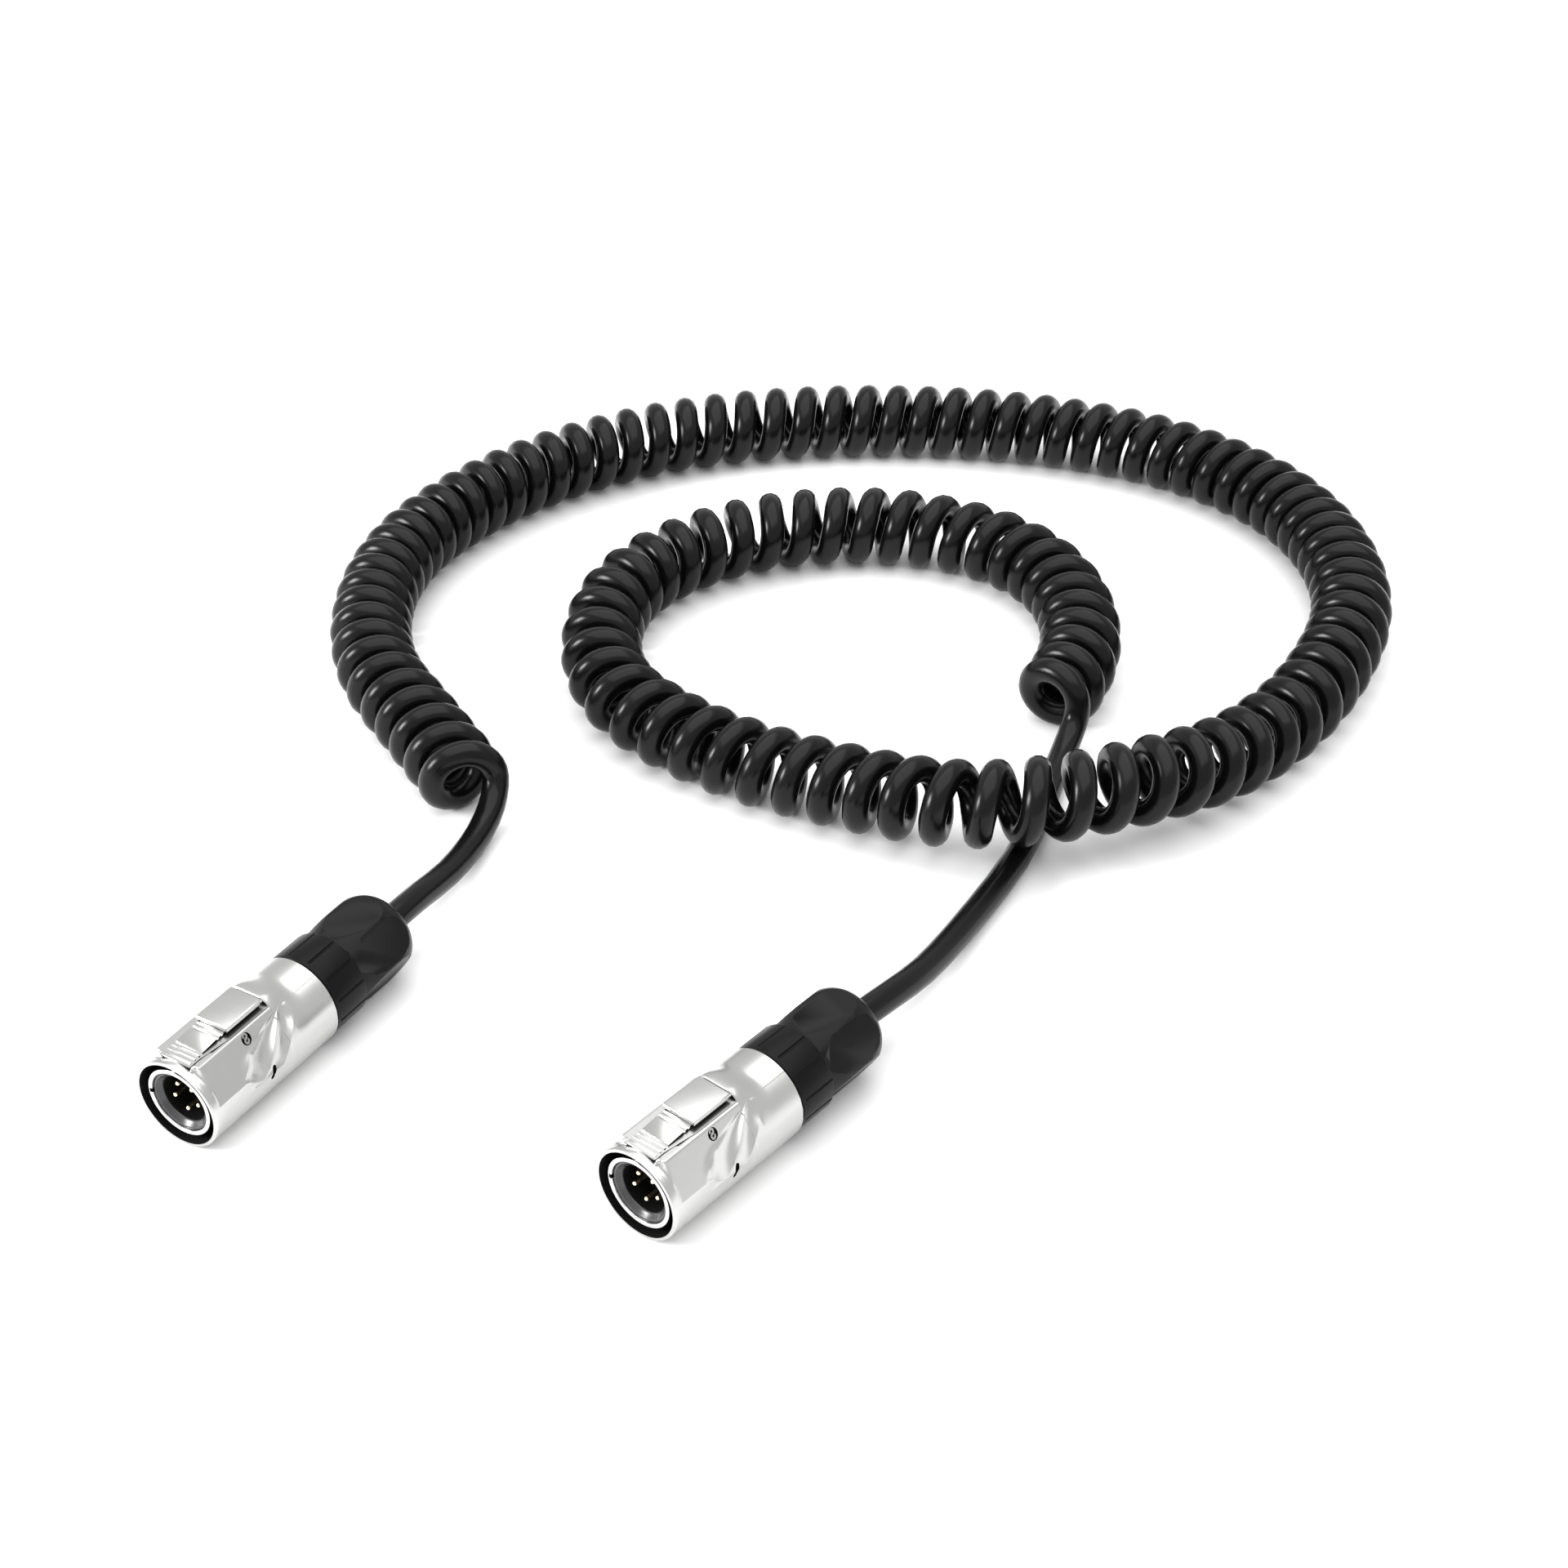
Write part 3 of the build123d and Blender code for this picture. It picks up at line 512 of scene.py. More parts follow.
CORD_JACKET = Finish(
    "cord_jacket", (0.003, 0.003, 0.0034), 0.24, mottle_scale=160.0, grain_depth=0.0000015, specular=0.20
)

# Finish of each node that stays as it is, by the first part of its name.
NODE_FINISHES = {
    "latch_spring": SPRING_STEEL,
    "barrel_seal": SEAL_RUBBER,
    "insert_retainer": TURNED_NICKEL,
    "insert": INSERT_BLACK_AND_PAINTED_SHADE,
    "core_wires": CORE_VINYL,
    "body_gasket": SEAL_RUBBER,
    "gland_seal": SEAL_RUBBER,
    "gland_claw": PALE_NYLON,
    "thrust_washer": PALE_NYLON,
}


# ---------------------------------------------------------------- plug
@dataclass
class Plug:
    """One push-lock plug, in millimetres in its own axes: mating face at y = 0, latch on top."""

    # depth of the barrel mount behind the mating face
    mount_depth: float = 6.35
    # shell
    shell_radius: float = 12.0
    shell_length: float = 44.0
    mouth_radius: float = 11.2
    mouth_depth: float = 16.0
    body_bore: float = 8.6
    socket_bore: float = 10.0
    socket_depth: float = 8.0
    rail_height: float = 12.2
    hump_height: float = 14.0
    hump_front: float = 27.6
    # flank facet from the rail's corner down: its normal, its distance from the axis, its run and foot
    corner_x: float = 6.7
    corner_z: float = 12.0
    facet_out: float = 0.878
    facet_up: float = 0.478
    facet_reach: float = 11.62
    facet_length: float = 10.25
    facet_foot: float = 75.5
    round_angle: float = 76.0
    crease_run: float = 12.9
    # hump's sloping sides: their normal and distance from the axis
    slope_out: float = 0.6536
    slope_up: float = 0.7568
    slope_reach: float = 13.47
    # lever's channel
    channel_half: float = 4.3
    channel_wide_half: float = 5.6
    channel_spread_y: float = 5.0
    channel_floor: float = 10.7
    channel_front: float = 2.0
    # latch
    pivot_y: float = 17.7
    pivot_z: float = 10.9
    pin_radius: float = 0.9
    pin_end_radius: float = 1.3
    pin_end_z: float = 10.45
    arm_half: float = 4.0
    pad_half: float = 4.8
    pad_front: float = 14.6
    pad_rear: float = 27.1
    pad_top: float = 14.5
    pad_bottom: float = 13.4

    def place(self, side: Side) -> Matrix:
        """Place of the plug's own axes in the row's frame.

        Args:
            side: which end of the cable.

        Returns:
            The matrix that takes the plug's own millimetres to the row's metres.
        """
        name = f"plug_{side.value}_barrel"
        mount = next(m for m in frame["record"]["mounts"] if m["name"] == name)
        outwards = Vector(mount["axis"]).normalized()
        face = Vector(mount["pos_m"]) + outwards * self.mount_depth * MILLIMETRE
        forward, up = -outwards, Vector((0.0, 0.0, 1.0))
        axes = Matrix((forward.cross(up), forward, up)).transposed().to_4x4()
        return Matrix.Translation(face) @ axes @ Matrix.Scale(MILLIMETRE, 4)

    # ---- shell
    def flank_angle(self, run: float) -> float:
        """Angle that is reached at a distance down the flank from the rail's corner.

        Args:
            run: the distance down the flank.

        Returns:
            The angle from the top, in degrees.
        """
        if run <= self.facet_length:
            across = self.corner_x + self.facet_up * run
            return math.degrees(math.atan2(across, self.corner_z - self.facet_out * run))
        return self.facet_foot + math.degrees((run - self.facet_length) / self.shell_radius)

    def crease_angles(self, y: float) -> tuple[float, float, float]:
        """Angles of the three creases that fan down each flank from the hump.

        Args:
            y: the section's place.

        Returns:
            The front, middle and rear crease's angles, in degrees from the top.
        """
        apex_y, front_y, knee_y, foot_y = 31.0, 11.0, 15.7, 17.2
        if y >= apex_y:
            front_run = 0.4
        elif y >= knee_y:
            front_run = 0.4 + 0.33 * (apex_y - y)
        else:
            front_run = min(self.facet_length, 5.45 + 1.03 * (knee_y - y))
        if y > foot_y:
            foot = self.flank_angle(self.crease_run)
        else:
            foot = self.flank_angle(self.facet_length + 2.65 * smooth(front_y, foot_y, y))
        middle_run = max(front_run + 0.4, 0.93 * (apex_y - y))
        front = self.flank_angle(front_run)
        middle = max(front + 1.5, min(foot, self.flank_angle(middle_run)))
        rear_run = 5.7 + 1.01 * (31.4 - y) if y < 31.4 else 5.7
        rear = max(middle + 1.5, min(self.flank_angle(self.crease_run) + 1.5, self.flank_angle(rear_run)))
        return front, middle, rear

    def skin_radius(self, y: float, angle: float, humped: bool) -> float:
        """Distance from the axis to the shell's plain outer skin, without the creases.

        Args:
            y: the section's place.
            angle: degrees from the top.
            humped: True behind the thumb pad, where the hump rises over the rails.

        Returns:
            The radius.
        """
        turn = math.radians(angle)
        if angle > self.round_angle:
            return self.shell_radius
        facet = self.facet_reach / (self.facet_out * math.sin(turn) + self.facet_up * math.cos(turn))
        top = soft_min(self.rail_height / math.cos(turn), facet, 0.3)
        if humped:
            slope = self.slope_reach / (self.slope_out * math.sin(turn) + self.slope_up * math.cos(turn))
            crown = soft_min(self.hump_height / math.cos(turn), slope, 0.9)
            top = soft_min(crown, facet + 0.15, 0.9)
            fade = 1 - smooth(28.2, 37.0, y)
            return self.shell_radius + (top - self.shell_radius) * fade
        rise = smooth(2.1, 3.0, y)
        return self.shell_radius + (top - self.shell_radius) * rise

    def section(self, y: float, humped: bool) -> list[tuple[float, float]]:
        """Half of the outer skin's section, from the top round to the bottom.

        Args:
            y: the section's place.
            humped: True behind the thumb pad.

        Returns:
            Pairs of angle from the top, in degrees, and radius.
        """
        front, middle, rear = self.crease_angles(y)
        marks = [(0.0, 0), (25.0, 8), (31.5, 6), (front, 8), (middle, 8), (rear, 6), (96.0, 3), (180.0, 20)]
        creased = smooth(11.0, 14.5, y) * (1 - smooth(30.0, 33.0, y))
        points = [(0.0, self.skin_radius(y, 0.0, humped))]
        for index in range(1, len(marks)):
            start, (end, steps) = marks[index - 1][0], marks[index]
            for i in range(1, steps + 1):
                share = i / steps
                angle = start + (end - start) * share
                radius = self.skin_radius(y, angle, humped)
                width = self.shell_radius * math.radians(end - start)
                depth = min(0.7, 0.15 * width) * math.sin(math.pi * share) ** 0.8
                crest = self.shell_radius + 0.14
                if index == 3:
                    radius += (crest - radius) * creased * smooth(0.62, 1.0, share)
                elif index in (4, 5):
                    radius += (crest - depth - radius) * creased
                elif index == 6:
                    radius += (crest - radius) * creased * (1 - smooth(0.0, 0.8, share))
                points.append((angle, radius))
        return points

    def build_skin(self) -> bpy.types.Object:
        """Loft the shell's outer skin, closed at both ends.

        Returns:
            The solid outer shape.
        """
        chamfer = 0.3
        places = [(0.0, False, chamfer), (chamfer / 3, False, chamfer / 3), (chamfer, False, 0.0)]
        places += [(y, False, 0.0) for y in (1.2, 2.1, 2.25, 2.4, 2.55, 2.7, 2.85, 3.0)]
        places += [(3.7 + 0.7 * i, False, 0.0) for i in range(34)] + [(self.hump_front, False, 0.0)]
        places += [(self.hump_front, True, 0.25)]
        places += [(self.hump_front + 0.3 + 0.5 * i, True, 0.0) for i in range(20)]
        places += [(self.shell_length - 0.15, True, 0.0), (self.shell_length, True, 0.15)]
        bm = bmesh.new()
        rings = []
        for y, humped, inset in places:
            half = self.section(y, humped)
            full = half + [(360.0 - angle, radius) for angle, radius in half[-2:0:-1]]
            ring = []
            for angle, radius in full:
                turn, reach = math.radians(angle), radius - inset
                ring.append(bm.verts.new((reach * math.sin(turn), y, reach * math.cos(turn))))
            rings.append(ring)
        count = len(rings[0])
        for near, far in zip(rings, rings[1:]):
            for i in range(count):
                bm.faces.new((near[i], near[(i + 1) % count], far[(i + 1) % count], far[i]))
        bm.faces.new(rings[0])
        bm.faces.new(rings[-1][::-1])
        mesh = bpy.data.meshes.new("shell")
        bm.to_mesh(mesh)
        bm.free()
        piece = linked("shell", mesh)
        tidy(piece)
        return piece

    def build_shell(self) -> bpy.types.Object:
        """Shell with its stepped bore, lever channel, pin hole and side pockets.

        Returns:
            The shell.
        """
        shell = self.build_skin()
        shell.data.materials.append(SATIN_NICKEL.material())
        out = 1.0
        bore = [
            (-out, self.mouth_radius),
            (self.mouth_depth, self.mouth_radius),
            (self.mouth_depth, self.body_bore),
            (self.shell_length - self.socket_depth, self.body_bore),
            (self.shell_length - self.socket_depth, self.socket_bore),
            (self.shell_length + out, self.socket_bore),
        ]
        tool = turned("bore", bore, solid=True, segments=112)
        # The bore's cut faces take painted shade, which stands in for the shade inside the mouth and the
        # sockets.
        tool.data.materials.append(RECESS_PAINTED_SHADE.material())
        combine(shell, tool)
        for side in (-1, 1):
            self.weld_studs(shell, side)
        self.cut_channel(shell)
        for side in (-1, 1):
            combine(shell, self.pocket_tool(side))
            ends = [(5.95, self.pin_end_radius + 0.12), (14, self.pin_end_radius + 0.12)]
            tool = turned("pin_recess", ends, solid=True, segments=40)
            turn = Matrix.Rotation(-side * math.pi / 2, 4, "Z")
            tool.data.transform(Matrix.Translation((0, self.pivot_y, self.pin_end_z)) @ turn)
            # The pin recess's faces take painted shade, which stands in for the shade in the hollow round
            # the pin's end.
            tool.data.materials.append(RECESS_PAINTED_SHADE.material())
            combine(shell, tool)
        shade(shell, 28)
        return shell

    def weld_studs(self, shell: bpy.types.Object, side: int) -> None:
        """Weld on the small round studs at one rail's front end and beside the pad's corner.

        Args:
            shell: the shell.
            side: -1 for the left rail, 1 for the right one.
        """
        rail_end, pad_corner = (4.95, 2.75, 11.55, 0.75), (5.45, 14.1, 11.95, 0.45)
        for x, y, z, radius in (rail_end, pad_corner):
            at = (side * x, y, z)
            bpy.ops.mesh.primitive_uv_sphere_add(segments=20, ring_count=12, radius=radius, location=at)
            stud = bpy.context.object
            bpy.ops.object.transform_apply(location=True)
            stud.data.materials.append(SATIN_NICKEL.material())
            combine(shell, stud, "UNION")

    def cut_channel(self, shell: bpy.types.Object) -> None:
        """Cut the lever's channel, which spreads towards the pad, and ease the rails' inner edges.

        Args:
            shell: the shell to cut.
        """
        narrow, wide, top = self.channel_half, self.channel_wide_half, self.rail_height
        front, rear, spread_y = self.channel_front, self.hump_front, self.channel_spread_y
        right = [(narrow, front), (narrow, spread_y), (wide, self.pad_front), (wide, rear)]
        outline = right + [(-x, y) for x, y in right[::-1]]
        for tool in (
            block("mouth", (-narrow, front, self.body_bore - 2), (narrow, self.mouth_depth, top + 6)),
            slab("channel", outline, self.channel_floor, top + 6),
        ):
            # The mouth slot's and the channel's cut faces take painted shade, which stands in for the shade
            # in the lever's channel.
            tool.data.materials.append(RECESS_PAINTED_SHADE.material())
            combine(shell, tool)
        edge = slab("edge", outline, top - 0.2, top + 0.15, spread=0.3)
        edge.data.materials.append(SATIN_NICKEL.material())
        combine(shell, edge)

    def pocket_tool(self, side: int) -> bpy.types.Object:
        """Cutter of the slanted oval pocket in one flank.

        Args:
            side: -1 for the left flank, 1 for the right one.

        Returns:
            The cutter.
        """
        half, radius, tilt, depth = 1.2, 0.55, math.radians(-32), 1.6
        outline = arc((0, half), radius, 0, 180, 8) + arc((0, -half), radius, 180, 360, 8)
        centre = (side * 12.2, 20.5, -0.1)
        tool = prism("pocket", outline, depth)
        place = Matrix.Translation(centre) @ Matrix.Rotation(tilt, 4, "X")
        tool.data.transform(place)
        # The pocket's faces take painted shade, which stands in for the shade in the hollow.
        tool.data.materials.append(RECESS_PAINTED_SHADE.material())
        return tool

    # ---- latch
    def pivot_place(self) -> Matrix:
        """Place that lays a piece turned along the plug across it instead, on the latch's pivot."""
        return Matrix.Translation((0, self.pivot_y, self.pivot_z)) @ Matrix.Rotation(math.pi / 2, 4, "Z")

    def build_lever(self) -> bpy.types.Object:
        """Latch lever: grooved arm with its hook, hub, and the crowned thumb pad.

        Returns:
            The lever.
        """
        tip_y, tip_z, root_z, bottom = 2.4, 12.4, 13.3, 11.3
        slope = (root_z - tip_z) / (self.pad_front - tip_y)
        groove, lip = 0.48, 0.05
        outline: Outline = [(tip_y, bottom), (tip_y, tip_z - 0.15), (tip_y + 0.15, tip_z)]
        for y in (3.7, 5.1, 6.5, 12.3, 13.7):
            z = tip_z + slope * (y - tip_y)
            outline.append((y - groove - lip, z))
            outline += arc((y, z + 0.02), groove, 180, 360, 6)
            outline.append((y + groove + lip, z))
        hub = arc((self.pivot_y, self.pivot_z), 1.5, 0, -180, 14)
        neck_y, rib_y, rib_z = self.pad_front + 0.2, self.pad_rear - 0.6, 11.9
        outline += [(neck_y, root_z), (neck_y, self.pad_bottom + 0.3)]
        outline += [(rib_y, self.pad_bottom + 0.3), (rib_y, rib_z), (19.2, rib_z), *hub]
        outline += [(16.2, bottom), (5.0, bottom), (5.0, bottom - 0.8), (3.6, bottom - 0.8), (3.2, bottom)]
        lever = prism("latch_lever", outline, self.arm_half)
        low = (-self.pad_half, self.pad_front, self.pad_bottom)
        pad = block("pad", low, (self.pad_half, self.pad_rear, self.pad_top))
        self.round_pad(pad)
        combine(lever, pad, "UNION")
        soften(lever, 0.12, angle=50)
        bore = turned("bore", [(-6, 0.95), (6, 0.95)], solid=True, segments=32)
        bore.data.transform(self.pivot_place())
        combine(lever, bore)
        lever.data.materials.clear()
        for finish in (LATCH_NICKEL, RECESS_PAINTED_SHADE):
            lever.data.materials.append(finish.material())
        # Faces under the pad and the arm's low side walls take painted shade, which stands in for the shadow
        # gap under and beside the arm.
        for face in lever.data.polygons:
            along, up = face.center.y, face.center.z
            under = along > self.pad_front - 0.1 and up < self.pad_bottom + 0.05
            beside = up < 12.9 and abs(face.normal.x) > 0.9
            face.material_index = int(under or beside)
        shade(lever, 34)
        return lever

    def round_pad(self, pad: bpy.types.Object) -> None:
        """Round the thumb pad's upright corners, then its top edge.

        Args:
            pad: the pad before it joins the lever.
        """
        bpy.ops.object.mode_set(mode="EDIT")
        bm = bmesh.from_edit_mesh(pad.data)
        for edge in bm.edges:
            edge.select = abs(edge.verts[0].co.z - edge.verts[1].co.z) > 0.1
        bm.select_flush_mode()
        bmesh.update_edit_mesh(pad.data)
        bpy.ops.mesh.bevel(offset=1.1, segments=5, affect="EDGES")
        bm = bmesh.from_edit_mesh(pad.data)
        for face in bm.faces:
            face.select = face.normal.z > 0.9
        bm.select_flush_mode()
        bmesh.update_edit_mesh(pad.data)
        bpy.ops.mesh.bevel(offset=0.55, segments=4, affect="EDGES")
        bpy.ops.object.mode_set(mode="OBJECT")

    def build_pin(self) -> bpy.types.Object:
        """Rolled cross pin, with the curl of its strip showing dark at each end.

        Returns:
            The pin.
        """
        shank, radius = 6.0, self.pin_radius
        pin = turned("pin", [(-shank, radius), (shank, radius)], solid=True, segments=32)
        pin.data.transform(self.pivot_place())
        strip, curl = 0.24, (self.pin_end_radius - 0.24) / 2
        outer = arc((0, curl), curl + strip, -90, 200, 18)
        upper = outer + arc((0, curl), curl - strip, 200, -90, 18)
        ends = []
        for outline in (upper, [(-y, -z) for y, z in upper]):
            end = prism("curl", outline, 9.0)
            end.data.transform(Matrix.Translation((0, self.pivot_y, self.pin_end_z)))
            for vertex in end.data.vertices:
                reach = 6.55 + 0.544 * (12.0 - vertex.co.z)
                vertex.co.x = math.copysign(reach, vertex.co.x)
            ends.append(end)
        pin = join("latch_pin", [pin, *ends])
        pin.data.materials.clear()
        pin.data.materials.append(SPRING_STEEL.material())
        shade(pin)
        return pin

    # ---- mating parts
    def build_barrel(self) -> bpy.types.Object:
        """Mating barrel with its flange and rear skirt, rounded at the mouth.

        Returns:
            The barrel.
        """
        front, outer, bore, nose = 0.8, 9.35, 8.1, 0.32
        flange, flange_y, skirt_y = 9.6, 11.6, 13.0
        step_y, throat, rear = 14.0, 7.5, 24.0
        outline = arc((front + nose, outer - nose), nose, 180, 90, 5)
        skirt = self.mouth_radius - 0.05
        outline += [(flange_y, outer), (flange_y, flange), (skirt_y, flange), (skirt_y, skirt)]
        outline += [(self.mouth_depth, skirt), (self.mouth_depth, self.body_bore)]
        outline += [(rear, self.body_bore), (rear, throat), (step_y, throat), (step_y, bore)]
        outline += arc((front + nose, bore + nose), nose, 270, 180, 5)
        barrel = turned("mating_barrel", outline, segments=112)
        key = block("key", (-bore - 0.75, -1, -0.6), (-bore + 1, 2.8, 0.6))
        # The key notch's faces take painted shade, which stands in for the shade in the notch.
        key.data.materials.append(RECESS_PAINTED_SHADE.material())
        barrel.data.materials.append(BRIGHT_NICKEL.material())
        combine(barrel, key)
        shade(barrel, 35)
        return barrel

    def build_face_seal(self) -> bpy.types.Object:
        """Soft funnel inside the barrel's mouth.

        Returns:
            The seal.
        """
        lip_r, throat, painted_shade_y = 0.42, 6.2, 2.75
        outline = arc((1.35 + lip_r, 8.08 - lip_r), lip_r, 90, 230, 8)
        outline += [(1.9, 7.1), (2.3, 6.6), (2.7, 6.3), (3.2, throat), (8.0, throat), (8.0, 8.08)]
        seal = turned("face_seal", outline, segments=112)
        for finish in (FACE_SEAL_RUBBER, INSERT_BLACK_AND_PAINTED_SHADE):
            seal.data.materials.append(finish.material())
        # The funnel's deep faces take a matte black as painted shade, which stands in for the shade deep in
        # the barrel's mouth.
        for face in seal.data.polygons:
            face.material_index = int(face.center.y > painted_shade_y)
        shade(seal, 40)
        return seal

    def build_contacts(self) -> bpy.types.Object:
        """Contact pins with round tips in front and solder cups behind.

        Returns:
            The contacts, in one piece.
        """
        radius, tip, circle = 0.65, 3.0, 3.7
        cup, cup_bore, cup_y, bore_y, rear = 1.1, 0.75, 24.0, 26.0, 29.0
        outline = []
        for t in (0.25, 0.55, 0.9, 1.25, math.pi / 2):
            outline.append((tip + radius - radius * math.cos(t), radius * math.sin(t)))
        outline += [(cup_y, radius), (cup_y, cup), (rear, cup), (rear, cup_bore), (bore_y, cup_bore)]
        pins = []
        for i in range(5):
            turn = math.radians(-90 + 72 * i)
            pin = turned("contact", outline, solid=True, segments=24)
            pin.data.transform(Matrix.Translation((circle * math.cos(turn), 0, circle * math.sin(turn))))
            pins.append(pin)
        contacts = join("contacts", pins)
        contacts.data.materials.append(PALE_GOLD.material())
        shade(contacts, 40)
        return contacts

    # ---- back sleeve and nut
    def build_sleeve(self) -> bpy.types.Object:
        """Back sleeve: spigot, grooved collar and threaded neck.

        Returns:
            The sleeve.
        """
        collar, front, rear, round_r = 11.7, 44.4, 55.5, 0.35
        spigot, spigot_y, bore = 10.0, 36.0, 6.8
        neck, neck_y, gland, gland_y = 8.8, 66.0, 6.2, 55.7
        outline: Outline = [(spigot_y, bore), (spigot_y, spigot), (front, spigot)]
        outline += arc((front + round_r, collar - round_r), round_r, 180, 90, 4)
        outline += arc((rear - round_r, collar - round_r), round_r, 90, 0, 4)
        outline += [(rear, neck), (neck_y, neck), (neck_y, gland), (gland_y, gland)]
        outline += [(gland_y, 4.8), (53.7, 4.8), (53.7, bore)]
        sleeve = turned("back_sleeve", outline, segments=144)
        for i in range(12):
            groove = turned("groove", [(front + 1.2, 0.42), (rear + 2, 0.42)], solid=True, segments=12)
            turn = math.radians(15 + 30 * i)
            groove.data.transform(Matrix.Translation((11.75 * math.cos(turn), 0, 11.75 * math.sin(turn))))
            combine(sleeve, groove)
        sleeve.data.materials.clear()
        sleeve.data.materials.append(SLEEVE_NYLON.material())
        shade(sleeve, 30)
        return sleeve

    def build_nut(self) -> bpy.types.Object:
        """Gland nut: waist, six flats with rounded corners, domed end and a countersunk mouth.

        Returns:
            The nut.
        """
        front, rear, waist, corner, mouth = 55.8, 77.0, 10.6, 11.9, 5.4
        flat, dome, dome_y = 10.5, 4.4, 68.6
        outline: Outline = [(front, waist - 0.3), (front + 0.3, waist)]
        for i in range(1, 12):
            share = i / 12
            outline.append((front + 0.3 + 7.5 * share, waist + (corner - waist) * smooth(-0.15, 1.0, share)))
        for i in range(15):
            turn = math.radians(84 * i / 14)
            along = dome_y + (rear - dome_y) * math.sin(turn)
            outline.append((along, corner - dome * (1 - math.cos(turn))))
        outline.append((rear, corner - dome - 0.4))
        nut = turned("gland_nut", outline, solid=True, segments=144)
        pick(nut)
        bpy.ops.object.mode_set(mode="EDIT")
        for i in range(6):
            turn = math.radians(30 + 60 * i)
            normal = Vector((math.cos(turn), 0.0, math.sin(turn)))
            bpy.ops.mesh.select_all(action="SELECT")
            bpy.ops.mesh.bisect(plane_co=normal * flat, plane_no=normal, use_fill=True, clear_outer=True)
        bpy.ops.object.mode_set(mode="OBJECT")
        tidy(nut)
        thread, thread_end, hole = 8.9, 68.1, 4.1
        bore = [(front - 1, thread), (thread_end, thread), (thread_end, hole), (rear - 5.3, hole)]
        bore += [(rear, mouth), (rear + 1, mouth + 0.25)]
        combine(nut, turned("bore", bore, solid=True, segments=96))
        soften(nut, 0.4, angle=9, segments=3)
        nut.data.materials.clear()
        nut.data.materials.append(NUT_NYLON.material())
        shade(nut, 40)
        return nut

    def build(self) -> None:
        """Model every piece once, then lay a copy of it on each end of the cable."""
        pieces = [
            (self.build_shell(), Body.CABLE, "shell_metal"),
            (self.build_lever(), Body.LATCH, "latch_metal"),
            (self.build_pin(), Body.CABLE, "pin_steel"),
            (self.build_barrel(), Body.CABLE, "barrel_metal"),
            (self.build_face_seal(), Body.CABLE, "face_seal_rubber"),
            (self.build_contacts(), Body.CABLE, "contact_gold"),
            (self.build_sleeve(), Body.CABLE, "sleeve_black"),
            (self.build_nut(), Body.NUT, "nut_black"),
        ]
        for model, body, slot in pieces:
            node = model.name
            for side in Side:
                piece = model.copy()
                piece.data = model.data.copy()
                piece.name = piece.data.name = f"{node}_{side.value}_skin"
                bpy.context.scene.collection.objects.link(piece)
                piece.data.transform(self.place(side))
                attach(piece, body.value if body is Body.CABLE else f"{body.value}_{side.value}")
                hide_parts(f"{node}_{side.value}")
                log.info("%s: %d faces", piece.name, len(piece.data.polygons))
            bpy.data.objects.remove(model)


